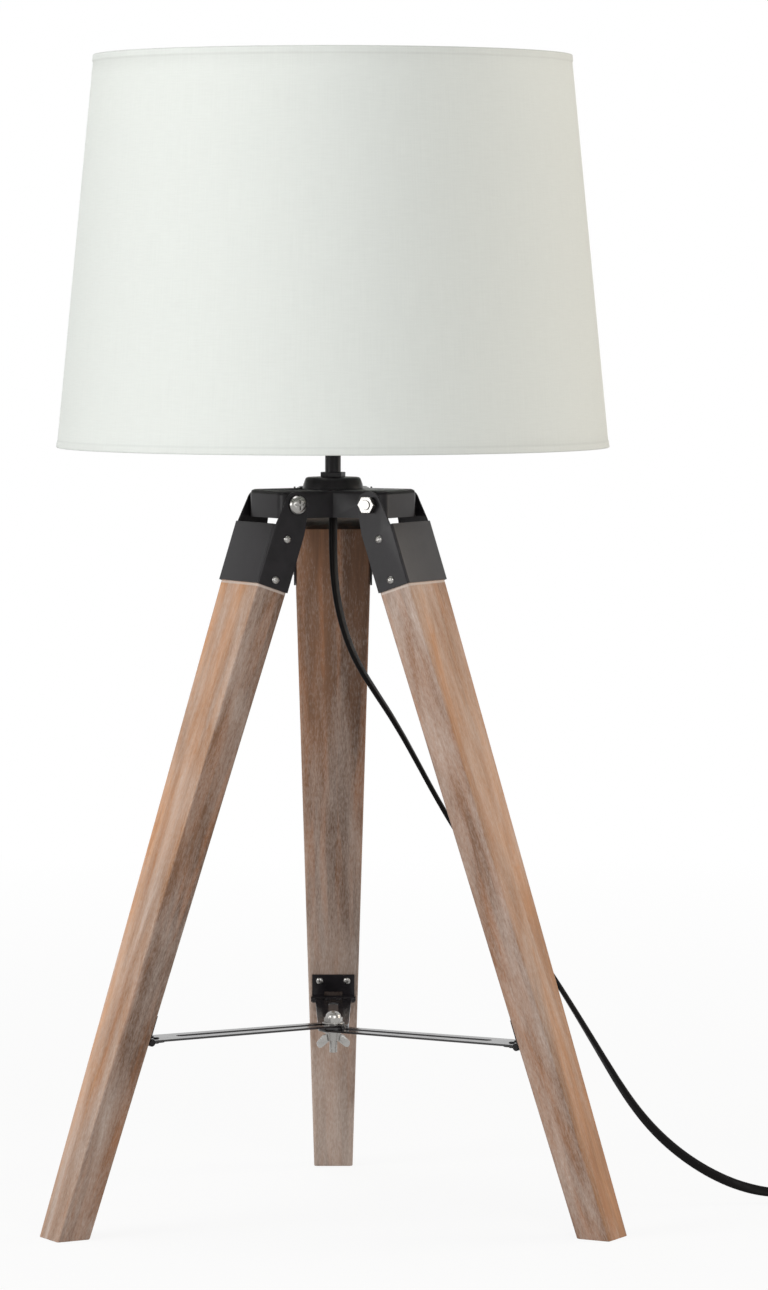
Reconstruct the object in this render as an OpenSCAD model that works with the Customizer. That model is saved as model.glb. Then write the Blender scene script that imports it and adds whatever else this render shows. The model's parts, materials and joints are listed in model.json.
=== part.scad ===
// Tripod table lamp: three hinged wooden legs under a black steel hub, a slotted
// three-arm spreader that folds with them, a lampholder on a stem and a drum shade.
// Millimetres. +Z is up, the floor is z = 0 and the lamp's axis is x = y = 0.
// Leg a points along +Y (back), leg b to the front left and leg c to the front right.

/* [Shade] */
// Outer diameter of the shade at its lower edge
shade_bottom_d = 350; // [300:1:380]
// Outer diameter of the shade at its upper edge
shade_top_d = 302; // [240:1:340]
// Height of the shade
shade_h = 247.5; // [200:0.5:260]
// Height of the shade's lower edge above the floor
shade_z = 489.8; // [485:0.1:495]
// Thickness of the fabric on its backing
shade_wall = 1.2; // [0.8:0.1:2]
// Height of the rolled hem at both edges
hem_h = 3.6; // [2:0.1:6]
// How far the rolled hem stands out
hem_out = 0.5; // [0.2:0.1:1]
// Diameter of the two wire rings inside the shade
shade_wire_d = 3; // [2:0.1:4]
// Diameter of the three spokes that carry the shade
spoke_d = 3.6; // [2.5:0.1:5]
// Outer diameter of the shade's centre ring
fitter_d = 58; // [52:1:70]
// Thickness of the shade's centre ring
fitter_t = 1.6; // [1:0.1:2.5]

/* [Lampholder] */
// Inner radius of the threaded shell that takes the lamp's cap
shell_r = 13.35; // [13:0.05:14]
// Wall of the threaded shell
shell_wall = 0.5; // [0.3:0.1:0.8]
// Height of the threaded shell
shell_h = 22; // [16:1:26]
// Outer diameter of the lampholder's threaded skirt
skirt_d = 39.6; // [36:0.1:42]
// Height of the lampholder's skirt above its shoulder
skirt_h = 36; // [30:1:44]
// Diameter of the shoulder that the shade's ring sits on
shoulder_d = 44; // [43:0.5:48]
// Thickness of that shoulder
shoulder_t = 3; // [2:0.5:4]
// Height of the lampholder's domed cap
cap_h = 24; // [20:1:30]
// Wall of the lampholder's plastic parts
holder_wall = 2.4; // [1.8:0.1:3]
// Outer diameter of the ring that clamps the shade
clamp_d = 56; // [50:1:64]
// Height of the ring that clamps the shade
clamp_h = 8; // [5:1:12]
// Height of the shoulder's top face above the floor
holder_z = 540; // [534:1:548]

/* [Stem and hub] */
// Outer diameter of the stem
stem_d = 10; // [8:0.5:12]
// Bore of the stem
stem_bore = 7.4; // [5:0.1:7.6]
// Height of the stem's lower end above the floor
stem_z = 449.5; // [448:0.1:452]
// Distance across the flats of the two nuts on the stem
nut_af = 14; // [13:0.5:17]
// Thickness of the two nuts on the stem
nut_t = 3.2; // [2.5:0.1:4]
// Height of the hub's top face above the floor
hub_top = 463.4; // [462:0.1:466]
// Height of the hub's pressed skirt
hub_h = 17.3; // [16:0.1:18]
// Thickness of the hub's steel
hub_wall = 1.6; // [1:0.1:2.5]
// Distance from the axis to the end of each of the hub's three arms
hub_r = 50; // [48:0.5:52]
// Radius of the upright corners at the end of each arm
hub_corner = 8; // [4:0.5:10]
// Radius of the pressed edge around the hub's top
hub_edge = 2.4; // [1:0.1:3]
// Diameter of the domed cap on the hub at its base
dome_d = 38.8; // [34:0.1:40]
// Diameter of the domed cap where its side turns over
dome_top_d = 35.2; // [30:0.1:36]
// Height of the domed cap
dome_h = 7.3; // [5:0.1:9]
// Thickness of the domed cap's steel
dome_wall = 1.2; // [0.8:0.1:1.6]

/* [Legs] */
// Angle between a leg and the upright
leg_tilt = 18.6; // [17:0.1:20]
// Distance from the lamp's axis to a leg's pivot
pivot_r = 40.4; // [39:0.1:42]
// Height of the legs' pivots above the floor
pivot_z = 454.7; // [454:0.1:456]
// Thickness of a leg, from its inner face to its outer face
leg_t = 22; // [20:0.1:24]
// Width of a leg under its steel cap
leg_w = 48; // [46:0.1:50]
// Width of a leg at the floor
foot_w = 25.7; // [20:0.1:32]
// Distance from the pivot down to the top end of the wood
wood_top = 16; // [15:0.1:18]
// Distance from the pivot down to the lower edge of the steel cap
legcap_end = 54.8; // [50:0.1:60]
// Thickness of the steel cap
legcap_t = 1.2; // [1:0.1:1.6]
// Radius of the cap's ears around the pivot
ear_r = 8.5; // [8:0.1:10.5]
// Radius of the cap's bends
bend_r = 1.6; // [1.3:0.1:2]
// Side clearance between the cap's ears and the hub
ear_gap = 0.3; // [0.2:0.05:0.6]
// Diameter of the pivot bolts
bolt_d = 6; // [5:0.5:7]
// Diameter of the pivot bolts' domed heads
bolt_head_d = 11.8; // [10:0.1:13]
// Height of the pivot bolts' domed heads
bolt_head_h = 3.6; // [3:0.1:5]
// Distance across the flats of the pivot nuts
pivot_nut_af = 10; // [9:0.5:12]
// Thickness of the pivot nuts
pivot_nut_t = 4.2; // [3:0.1:5]
// Radial running clearance of a leg on its bolt
run_gap = 0.06; // [0.02:0.01:0.1]
// Distance from the pivot down to the cap's upper screws
cap_screw_1 = 22.7; // [21:0.1:28]
// Distance from the pivot down to the cap's lower screws
cap_screw_2 = 49.4; // [40:0.1:50]
// Diameter of the small screw heads
screw_head_d = 5; // [4:0.1:6]
// Height of the small screw heads
screw_head_h = 1.4; // [1:0.1:2]
// Diameter of the small screws
screw_d = 3; // [2:0.1:3.5]
// Length of the small screws
screw_l = 13; // [8:0.5:16]

/* [Spreader] */
// Height of the middle spreader arm's top face above the floor
arm_z = 119.8; // [110:0.1:130]
// Thickness of the spreader arms
arm_t = 1.3; // [1:0.1:1.6]
// Gap between two stacked spreader arms
arm_gap = 0.2; // [0.15:0.01:0.4]
// Width of a spreader arm at its hinge
arm_w_leg = 24; // [20:0.1:26]
// Width of a spreader arm at the lamp's axis
arm_w_mid = 19.5; // [17:0.1:21]
// Solid length of an arm between its hinge end and its slot
arm_solid = 22; // [18:0.5:24]
// Clearance between the clamp bolt and the sides of a slot
slot_gap = 0.7; // [0.6:0.05:1]
// Diameter of the clamp bolt
clamp_bolt_d = 5; // [4:0.5:5]
// Length of the clamp bolt below the arms
clamp_bolt_drop = 13; // [11:0.5:18]
// Diameter of the washers on the clamp bolt
washer_d = 14; // [12:0.5:16]
// Thickness of those washers
washer_t = 0.9; // [0.6:0.1:1.5]
// Diameter over the corners of the cap nut on top
cap_nut_d = 12.2; // [10:0.1:14]
// Height of the cap nut's six-sided foot
cap_nut_h = 3; // [2:0.1:4]
// Diameter of the wing nut's boss
wing_boss_d = 9; // [8:0.1:10]
// Height of the wing nut's boss
wing_boss_h = 5.4; // [4:0.1:7]
// Distance from the bolt's axis to a wing's tip
wing_reach = 10.8; // [9:0.1:12]
// Thickness of the wings
wing_t = 1.8; // [1.4:0.1:2.4]
// Width of the small butt hinges
hinge_w = 28; // [24:0.5:30]
// Radius of the hinges' knuckles
knuckle_r = 2.4; // [2:0.1:2.8]
// Width of the hinges' middle knuckle
knuckle_w = 12; // [10:0.5:14]
// Diameter of the hinge pins
pin_d = 2.4; // [1.8:0.1:2.6]
// Thickness of the hinge leaves
leaf_t = 1.2; // [0.8:0.1:1.4]
// Height of the leaf on the leg above the hinge's axis
leaf_h = 17; // [15:0.5:20]
// Length of the leaf under the arm
leaf_l = 11; // [10:0.5:11.5]
// Width of the leaf under the arm
leaf_w = 14; // [12:0.5:15]
// Radius of that leaf's corners
leaf_corner = 3.5; // [2.5:0.5:5]
// Distance between a leaf's two screws
leaf_screw_gap = 18.2; // [16:0.1:20]
// Height of the notch above the middle knuckle
leaf_notch = 2.6; // [1:0.1:4]
// Height of a leaf's screws above the hinge's axis
leaf_screw_h = 12.8; // [10:0.1:14]
// Diameter of the rivets' heads
rivet_head_d = 4.2; // [3:0.1:5]
// Diameter of the rivets
rivet_d = 2.4; // [2:0.1:3]
// Distance between an arm's two rivets
rivet_gap = 7; // [6:0.1:8]

/* [Cord] */
// Width of the flat twin cord
cord_w = 6.4; // [5.6:0.1:6.6]
// Thickness of the flat twin cord
cord_t = 3.3; // [3:0.1:3.4]
// Outer radius of the coil, to the cord's middle
coil_r = 41; // [40:0.5:43]
// Distance between neighbouring turns of the coil
coil_pitch = 5.1; // [5:0.05:5.4]
// Distance between the coil's two layers
coil_layer = 7.6; // [7.5:0.1:8]
// Length of the inline switch
switch_l = 62; // [56:1:70]
// Width of the inline switch
switch_w = 26; // [22:1:30]
// Height of the inline switch
switch_h = 17; // [16:0.5:20]
// Wall of the inline switch
switch_wall = 2; // [1.5:0.1:2.4]
// Length of the switch's rocker
rocker_l = 18; // [14:0.5:22]
// Width of the switch's rocker
rocker_w = 11; // [8:0.5:14]
// Clearance around the rocker
rocker_gap = 0.35; // [0.25:0.05:0.6]
// Length of the plug's body
plug_l = 36; // [32:1:40]
// Width of the plug's body
plug_w = 35.3; // [34:0.1:37]
// Height of the plug's body
plug_h = 13.7; // [12:0.1:15]
// Diameter of the plug's pins
plug_pin_d = 4; // [3.9:0.1:4.8]
// Length of the plug's pins
plug_pin_l = 19; // [18:0.5:20]
// Distance between the plug's pins
plug_pin_gap = 18.6; // [17:0.1:19]

/* [Hidden] */
$fn = 64;

// directions of legs a, b and c, and the place of each one's arm in the stack at the axis
AZ = [90, 210, 330];
LEVEL = [0, 1, -1];

// clearances shared by the fixed fits
fit = 0.05;
seat = 0.1;
cut = 1;

// colours
STEEL = "#2a2a2c";
CHROME = "#c9cacb";
WOOD = "#a9896f";
FABRIC = "#e9ece4";
PLASTIC = "#1c1c1e";
BRASS = "#b89a5a";

// ---- shade
function shade_r(z) = shade_bottom_d / 2 - (shade_bottom_d - shade_top_d) / 2 * (z / shade_h);
function shade_in(z) = shade_r(z) - shade_wall;
wire_r = shade_wire_d / 2;
wire_low = hem_h / 2;
wire_high = shade_h - hem_h / 2;
fitter_z = holder_z + seat;

module shade_cover() color(FABRIC) translate([0, 0, shade_z]) rotate_extrude($fn = 160)
    polygon([
        [shade_in(0), 0], [shade_r(0) + hem_out, 0], [shade_r(hem_h) + hem_out, hem_h],
        [shade_r(hem_h), hem_h + hem_out],
        [shade_r(shade_h - hem_h), shade_h - hem_h - hem_out],
        [shade_r(shade_h - hem_h) + hem_out, shade_h - hem_h],
        [shade_r(shade_h) + hem_out, shade_h], [shade_in(shade_h), shade_h]]);

module shade_wire(z) color(CHROME) translate([0, 0, shade_z + z]) rotate_extrude($fn = 120)
    translate([shade_in(z) - wire_r - fit, 0]) circle(wire_r, $fn = 20);

module shade_fitter() color(CHROME) {
    low_r = shade_in(wire_low) - shade_wire_d - 2 * fit;
    drop = fitter_z + fitter_t / 2 - (shade_z + wire_low);
    run = low_r - fitter_d / 2 + spoke_d / 2;
    lean = atan(drop / run);
    difference() {
        union() {
            translate([0, 0, fitter_z]) cylinder(h = fitter_t, d = fitter_d);
            for (a = [30, 150, 270]) rotate([0, 0, a])
                translate([fitter_d / 2 - spoke_d / 2, 0, fitter_z + fitter_t / 2])
                    rotate([0, 90 + lean, 0]) cylinder(h = run / cos(lean), d = spoke_d, $fn = 24);
        }
        translate([0, 0, fitter_z - spoke_d]) cylinder(h = 2 * spoke_d + fitter_t, d = skirt_d + 4 * seat);
        // the spokes' ends stay under the ring's top face, where the clamp sits
        translate([0, 0, fitter_z + fitter_t]) cylinder(h = spoke_d, d = fitter_d);
        // the spokes end against the lower wire ring
        difference() {
            translate([0, 0, shade_z - cut]) cylinder(h = 3 * shade_wire_d + cut, r = shade_bottom_d);
            translate([0, 0, shade_z - 2 * cut])
                cylinder(h = 3 * shade_wire_d + 3 * cut, r = low_r - fit, $fn = 120);
        }
    }
}

// ---- lampholder
holder_r = skirt_d / 2;
base_z = holder_z - shoulder_t;
cap_z = base_z - cap_h;
neck_r = stem_d / 2 + holder_wall;
neck_h = 6;
base_t = 8;
shell_z = base_z + base_t + fit;

module lampholder_cap() color(PLASTIC) difference() {
    translate([0, 0, cap_z]) rotate_extrude() polygon([
        [0, 0], [neck_r, 0], [neck_r, neck_h], [holder_r * 0.72, neck_h + 3],
        [holder_r * 0.93, neck_h + 6.5], [holder_r, neck_h + 11], [holder_r, cap_h - fit],
        [0, cap_h - fit]]);
    translate([0, 0, cap_z]) rotate_extrude() polygon([
        [0, neck_h + 3], [holder_r * 0.72 - holder_wall, neck_h + 3 + holder_wall],
        [holder_r - holder_wall, neck_h + 11], [holder_r - holder_wall, cap_h + cut], [0, cap_h + cut]]);
    translate([0, 0, cap_z - cut]) cylinder(h = neck_h + 3 + 2 * cut, d = stem_d + 2 * fit);
}

module lampholder_body() color(PLASTIC) difference() {
    union() {
        translate([0, 0, base_z]) cylinder(h = shoulder_t, d = shoulder_d);
        translate([0, 0, base_z]) cylinder(h = shoulder_t + skirt_h, d = skirt_d);
    }
    translate([0, 0, base_z - cut])
        cylinder(h = shoulder_t + skirt_h + 2 * cut, r = shell_r + shell_wall + fit);
}

contact_l = 9;
contact_w = 5;
contact_t = 0.8;
contact_d = 3;
contact_deep = 1.2;
contact_z = base_z + base_t - contact_deep + fit;

module lampholder_base() color("#e8e4da") difference() {
    translate([0, 0, base_z]) cylinder(h = base_t, r = shell_r + shell_wall - fit);
    translate([0, 0, base_z + base_t - contact_deep])
        cylinder(h = contact_deep + cut, d = norm([contact_l, contact_w]) + 4 * seat);
    translate([0, 0, base_z - cut]) cylinder(h = base_t + 2 * cut, d = contact_d + 2 * fit, $fn = 24);
}

module screw_shell() color(BRASS) translate([0, 0, shell_z]) difference() {
    cylinder(h = shell_h, r = shell_r + shell_wall);
    translate([0, 0, -cut]) cylinder(h = shell_h + 2 * cut, r = shell_r);
}

module centre_contact() color(BRASS) {
    translate([0, 0, base_z + base_t / 4])
        cylinder(h = contact_z - base_z - base_t / 4 + fit, d = contact_d, $fn = 24);
    translate([-contact_l / 2, -contact_w / 2, contact_z]) cube([contact_l, contact_w, contact_t]);
}

module clamp_ring() color(PLASTIC) translate([0, 0, fitter_z + fitter_t + seat]) difference() {
    cylinder(h = clamp_h, d = clamp_d);
    translate([0, 0, -cut]) cylinder(h = clamp_h + 2 * cut, d = skirt_d + 2 * fit);
    // finger scallops around the rim
    for (i = [0:11]) rotate([0, 0, i * 30 + 15]) translate([clamp_d / 2 + 2.2, 0, -cut])
        cylinder(h = clamp_h + 2 * cut, r = 3.2, $fn = 20);
}

// ---- stem, nuts and hub
hub_z = hub_top - hub_h;
hub_w = leg_w - 2 * ear_gap;
nut_r = nut_af / 2 / cos(30);
stem_top = cap_z + neck_h + 4;

module stem_tube() color(STEEL) translate([0, 0, stem_z]) difference() {
    cylinder(h = stem_top - stem_z, d = stem_d);
    translate([0, 0, -cut]) cylinder(h = stem_top - stem_z + 2 * cut, d = stem_bore);
}

module stem_nut(z) color(STEEL) translate([0, 0, z]) difference() {
    rotate([0, 0, 10]) cylinder(h = nut_t, r = nut_r, $fn = 6);
    translate([0, 0, -cut]) cylinder(h = nut_t + 2 * cut, d = stem_d + 2 * fit);
}

module hub_dome() color(STEEL) translate([0, 0, hub_top]) difference() {
    rotate_extrude($fn = 96) polygon([
        [0, 0], [dome_d / 2, 0], [(dome_d * 0.6 + dome_top_d * 0.4) / 2, dome_h * 0.45],
        [dome_top_d / 2, dome_h * 0.85], [dome_top_d / 2 - dome_h * 0.08, dome_h * 0.95],
        [dome_top_d / 2 - dome_h * 0.2, dome_h], [0, dome_h]]);
    translate([0, 0, -cut]) cylinder(h = dome_h - dome_wall + cut, d = dome_top_d - 3 * dome_wall);
    cylinder(h = dome_h + cut, d = stem_d + 2 * fit);
}

// one arm of the hub, seen from above, drawn in by i on every side
module arm_plan(i) {
    w = hub_w / 2 - i;
    r = hub_r - i;
    c = max(hub_corner - i, 0.5);
    translate([0, -w]) square([r - c, 2 * w]);
    translate([0, c - w]) square([r, 2 * (w - c)]);
    for (s = [-1, 1]) translate([r - c, s * (w - c)]) circle(c, $fn = 32);
}

module hub_shell() color(STEEL) difference() {
    for (a = AZ) rotate([0, 0, a]) hull() {
        translate([0, 0, hub_z]) linear_extrude(hub_h - hub_edge) arm_plan(0);
        translate([0, 0, hub_z]) linear_extrude(hub_h - 0.3 * hub_edge) arm_plan(0.3 * hub_edge);
        translate([0, 0, hub_z]) linear_extrude(hub_h) arm_plan(hub_edge);
    }
    for (a = AZ) rotate([0, 0, a]) translate([0, 0, hub_z - cut])
        linear_extrude(hub_h - hub_wall + cut) arm_plan(hub_wall);
    for (a = AZ) rotate([0, 0, a]) translate([pivot_r, 0, pivot_z]) rotate([90, 0, 0])
        cylinder(h = hub_w + 2 * cut, d = bolt_d + 2 * fit, center = true);
    translate([0, 0, hub_top - hub_wall - cut]) cylinder(h = hub_wall + 2 * cut, d = stem_d + 2 * fit);
}

module cord_bush() color(PLASTIC) {
    translate([0, 0, stem_z - 3]) cylinder(h = 3 - fit, d = stem_d + 2.4);
    translate([0, 0, stem_z - 3]) cylinder(h = 9, d = stem_bore - 2 * fit);
}

// ---- pivot bolts and nuts, through each leg's ears and the hub's arm
ear_out = leg_w / 2 + legcap_t + seat;
bolt_past = 0.8;
recess_w = 1.2;

module at_pivot(a) rotate([0, 0, a]) translate([pivot_r, 0, pivot_z]) children();

module pivot_bolts() color(CHROME) for (a = AZ) at_pivot(a) {
    translate([0, ear_out + fit, 0]) rotate([90, 0, 0])
        cylinder(h = 2 * ear_out + fit + pivot_nut_t + bolt_past, d = bolt_d);
    // domed head with a cross recess, on the side that each leg turns to the left
    translate([0, ear_out, 0]) rotate([-90, 0, 0]) difference() {
        rotate_extrude($fn = 48) polygon([
            [0, 0], [bolt_head_d / 2, 0], [bolt_head_d / 2, bolt_head_h * 0.35],
            [bolt_head_d * 0.44, bolt_head_h * 0.66], [bolt_head_d * 0.31, bolt_head_h * 0.9],
            [bolt_head_d * 0.16, bolt_head_h], [0, bolt_head_h]]);
        for (t = [0, 90]) rotate([0, 0, t])
            translate([-bolt_head_d * 0.28, -recess_w / 2, bolt_head_h * 0.5])
                cube([bolt_head_d * 0.56, recess_w, bolt_head_h]);
    }
}

module pivot_nuts() color(CHROME) for (a = AZ) at_pivot(a)
    translate([0, -ear_out, 0]) rotate([90, 0, 0]) difference() {
        cylinder(h = pivot_nut_t, r = pivot_nut_af / 2 / cos(30), $fn = 6);
        translate([0, 0, -cut]) cylinder(h = pivot_nut_t + 2 * cut, d = bolt_d + 2 * fit);
    }

// ---- legs: drawn hanging from the pivot, x outwards and z up along the leg
module on_leg(a) at_pivot(a) rotate([0, -leg_tilt, 0]) children();

leg_len = (pivot_z + leg_t) / cos(leg_tilt);
floor_u = pivot_z / cos(leg_tilt);
function leg_half(u) = u < legcap_end ? leg_w / 2
    : leg_w / 2 - (leg_w - foot_w) / 2 * (u - legcap_end) / (floor_u - legcap_end);

// hinge of the spreader on the leg, for the stack level k
axis_out = leg_t / 2 + knuckle_r + seat;
end_drop = 0.3;
hinge_over = arm_t - end_drop;
function hinge_z(k) = arm_z + k * (arm_t + arm_gap) - hinge_over;
function hinge_u(k) = (pivot_z - axis_out * sin(leg_tilt) - hinge_z(k)) / cos(leg_tilt);
function hinge_r(k) = pivot_r - axis_out * cos(leg_tilt) + hinge_u(k) * sin(leg_tilt);

module cap_screw_spots() for (u = [cap_screw_1, cap_screw_2], s = [-1, 1])
    translate([0, s * (leg_w / 2 + legcap_t), -u]) rotate([-90 * s, 0, 0]) children();

module leaf_screw_spots(k) for (s = [-1, 1])
    translate([-leg_t / 2 - leaf_t, s * leaf_screw_gap / 2, leaf_screw_h - hinge_u(k)])
        rotate([0, -90, 0]) children();

// a domed screw with a cross recess
module screw() {
    difference() {
        rotate_extrude($fn = 24) polygon([
            [0, 0], [screw_head_d / 2, 0], [screw_head_d * 0.42, screw_head_h * 0.6],
            [screw_head_d * 0.2, screw_head_h], [0, screw_head_h]]);
        for (t = [0, 90]) rotate([0, 0, t])
            translate([-screw_head_d * 0.28, -recess_w / 4, screw_head_h * 0.5])
                cube([screw_head_d * 0.56, recess_w / 2, screw_head_h]);
    }
    translate([0, 0, -screw_l]) cylinder(h = screw_l + fit, d = screw_d, $fn = 20);
}

module screw_hole() translate([0, 0, -screw_l - cut / 2])
    cylinder(h = screw_l + cut, d = screw_d + 2 * fit, $fn = 20);

module leg_wood(a, k) color(WOOD) difference() {
    on_leg(a) difference() {
        translate([-leg_t / 2, 0, 0]) rotate([90, 0, 90]) linear_extrude(leg_t) polygon([
            [-leg_half(wood_top), -wood_top], [-leg_half(legcap_end), -legcap_end],
            [-leg_half(leg_len), -leg_len], [leg_half(leg_len), -leg_len],
            [leg_half(legcap_end), -legcap_end], [leg_half(wood_top), -wood_top]]);
        cap_screw_spots() screw_hole();
        leaf_screw_spots(k) screw_hole();
    }
    translate([0, 0, -4 * leg_t]) cylinder(h = 4 * leg_t, r = pivot_z);
}

module leg_cap(a) color(STEEL) on_leg(a) difference() {
    union() {
        // folded channel around the wood
        translate([0, 0, -legcap_end]) linear_extrude(legcap_end - wood_top) difference() {
            union() {
                translate([-leg_t / 2, -leg_w / 2 - legcap_t])
                    square([leg_t + legcap_t - bend_r, leg_w + 2 * legcap_t]);
                translate([-leg_t / 2, -leg_w / 2 - legcap_t + bend_r])
                    square([leg_t + legcap_t, leg_w + 2 * (legcap_t - bend_r)]);
                for (s = [-1, 1]) translate([leg_t / 2 + legcap_t - bend_r,
                    s * (leg_w / 2 + legcap_t - bend_r)]) circle(bend_r, $fn = 24);
            }
            translate([-leg_t / 2 - cut, -leg_w / 2 - fit]) square([leg_t + cut + fit, leg_w + 2 * fit]);
        }
        // two ears around the pivot
        for (s = [-1, 1]) translate([0, s * (leg_w / 2 + fit + (legcap_t - fit) / 2), 0])
            rotate([90, 0, 0]) linear_extrude(legcap_t - fit, center = true) {
                circle(ear_r);
                polygon([[-leg_t / 2, -wood_top - cut], [leg_t / 2 + legcap_t - bend_r, -wood_top - cut],
                    [leg_t / 2 + legcap_t - bend_r, -wood_top], [ear_r, 0],
                    [-ear_r, 0], [-leg_t / 2, -wood_top]]);
            }
    }
    rotate([90, 0, 0]) cylinder(h = leg_w * 2, d = bolt_d + 2 * run_gap, center = true);
    cap_screw_spots() screw_hole();
}

module cap_screws(a) color(CHROME) on_leg(a) cap_screw_spots() screw();

// ---- butt hinges between the legs and the spreader arms
module knuckle(w) rotate([90, 0, 0]) cylinder(h = w, r = knuckle_r, center = true, $fn = 32);

module leg_leaf(a, k) color(STEEL) on_leg(a) difference() {
    union() {
        translate([-leg_t / 2 - leaf_t, -hinge_w / 2, -hinge_u(k)]) cube([leaf_t - fit, hinge_w, leaf_h]);
        for (s = [-1, 1]) translate([-axis_out, s * (hinge_w + knuckle_w) / 4, -hinge_u(k)])
            knuckle((hinge_w - knuckle_w) / 2 - seat);
    }
    // room for the middle knuckle, which leaves the wood bare above it
    translate([-leg_t / 2 - 2 * knuckle_r - cut, -knuckle_w / 2 - seat, -hinge_u(k) - knuckle_r - cut])
        cube([2 * knuckle_r + 2 * cut, knuckle_w + 2 * seat, 2 * knuckle_r + leaf_notch + cut]);
    translate([-axis_out, 0, -hinge_u(k)]) rotate([90, 0, 0])
        cylinder(h = hinge_w + 2 * cut, d = pin_d + 2 * fit, center = true, $fn = 24);
    leaf_screw_spots(k) screw_hole();
}

module leaf_screws(a, k) color(CHROME) on_leg(a) leaf_screw_spots(k) screw();

module hinge_pin(a, k) color(STEEL) rotate([0, 0, a]) translate([hinge_r(k), 0, hinge_z(k)])
    rotate([90, 0, 0]) {
        cylinder(h = hinge_w, d = pin_d, center = true, $fn = 24);
        for (s = [0, 1]) mirror([0, 0, s]) translate([0, 0, hinge_w / 2])
            cylinder(h = 0.8, d = pin_d + 1.2, $fn = 24);
    }

// ---- spreader arms, flat and slotted, one on top of the other at the axis
end_gap = 0.6;
arm_end = knuckle_r + end_gap;
slot_r = clamp_bolt_d / 2 + slot_gap;
slot_in = 0.8;
rivet_in = arm_end + leaf_l / 2;

module at_arm(a, k) rotate([0, 0, a])
    translate([0, 0, arm_z + k * (arm_t + arm_gap)]) children();

module rivet_spots(k) for (s = [-1, 1])
    translate([hinge_r(k) - rivet_in, s * rivet_gap / 2, 0]) children();

module arm(a, k) color(STEEL) at_arm(a, k) {
    far = hinge_r(k) - arm_end;
    slot_end = far - arm_solid - slot_r;
    translate([0, 0, -arm_t]) difference() {
        linear_extrude(arm_t) difference() {
            union() {
                circle(d = arm_w_mid);
                polygon([[0, -arm_w_mid / 2], [far, -arm_w_leg / 2], [far, arm_w_leg / 2],
                    [0, arm_w_mid / 2]]);
            }
            translate([-slot_in, -slot_r]) square([slot_end + slot_in, 2 * slot_r]);
            translate([-slot_in, 0]) circle(slot_r, $fn = 32);
            translate([slot_end, 0]) circle(slot_r, $fn = 32);
        }
        rivet_spots(k) translate([0, 0, -cut]) cylinder(h = arm_t + 2 * cut, d = rivet_d + 2 * fit, $fn = 20);
    }
}

module leaf_plan() {
    translate([leaf_corner, -leaf_w / 2]) square([leaf_l - leaf_corner, leaf_w]);
    translate([0, leaf_corner - leaf_w / 2]) square([leaf_l, leaf_w - 2 * leaf_corner]);
    for (s = [-1, 1]) translate([leaf_corner, s * (leaf_w / 2 - leaf_corner)]) circle(leaf_corner, $fn = 32);
}

module arm_leaf(a, k) color(STEEL) difference() {
    union() {
        at_arm(a, k) translate([hinge_r(k) - arm_end - leaf_l, 0, -arm_t - leaf_t - fit])
            linear_extrude(leaf_t) leaf_plan();
        at_arm(a, k) translate([hinge_r(k) - arm_end - fit, -knuckle_w / 2 + fit, -arm_t - leaf_t - fit])
            cube([arm_end, knuckle_w - 2 * fit, leaf_t]);
        rotate([0, 0, a]) translate([hinge_r(k), 0, hinge_z(k)]) knuckle(knuckle_w - 2 * fit);
    }
    rotate([0, 0, a]) translate([hinge_r(k), 0, hinge_z(k)]) rotate([90, 0, 0])
        cylinder(h = hinge_w, d = pin_d + 2 * run_gap, center = true, $fn = 24);
    at_arm(a, k) rivet_spots(k) translate([0, 0, -arm_t - leaf_t - cut])
        cylinder(h = leaf_t + cut + fit / 2, d = rivet_d + 2 * fit, $fn = 20);
}

module arm_rivets(a, k) color(STEEL) at_arm(a, k) rivet_spots(k) {
    translate([0, 0, -arm_t - leaf_t - fit]) cylinder(h = arm_t + leaf_t + fit, d = rivet_d, $fn = 20);
    cylinder(h = 0.7, d1 = rivet_head_d, d2 = rivet_head_d * 0.7, $fn = 20);
    translate([0, 0, -arm_t - leaf_t - fit - 0.7])
        cylinder(h = 0.7, d1 = rivet_head_d * 0.7, d2 = rivet_head_d, $fn = 20);
}

// ---- clamp at the middle of the spreader
stack_top = arm_z + LEVEL[1] * (arm_t + arm_gap);
stack_low = arm_z + LEVEL[2] * (arm_t + arm_gap) - arm_t;
clamp_top = stack_top + seat + washer_t;
clamp_low = stack_low - seat - washer_t;
wing_z = clamp_low - seat;

module clamp_bolt() color(CHROME) {
    translate([0, 0, wing_z - clamp_bolt_drop])
        cylinder(h = clamp_top + fit + cut - (wing_z - clamp_bolt_drop), d = clamp_bolt_d, $fn = 32);
    // cap nut
    translate([0, 0, clamp_top + fit]) {
        rotate([0, 0, 15]) cylinder(h = cap_nut_h, d = cap_nut_d, $fn = 6);
        translate([0, 0, cap_nut_h - fit]) rotate_extrude($fn = 32) polygon([
            [0, 0], [cap_nut_d * 0.41, 0], [cap_nut_d * 0.38, cap_nut_h * 0.6],
            [cap_nut_d * 0.27, cap_nut_h * 1.1], [cap_nut_d * 0.13, cap_nut_h * 1.36],
            [0, cap_nut_h * 1.42]]);
    }
}

module clamp_washers() color(CHROME) for (z = [clamp_low, stack_top + seat])
    translate([0, 0, z]) difference() {
        cylinder(h = washer_t, d = washer_d, $fn = 48);
        translate([0, 0, -cut]) cylinder(h = washer_t + 2 * cut, d = clamp_bolt_d + 2 * fit, $fn = 32);
    }

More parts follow.
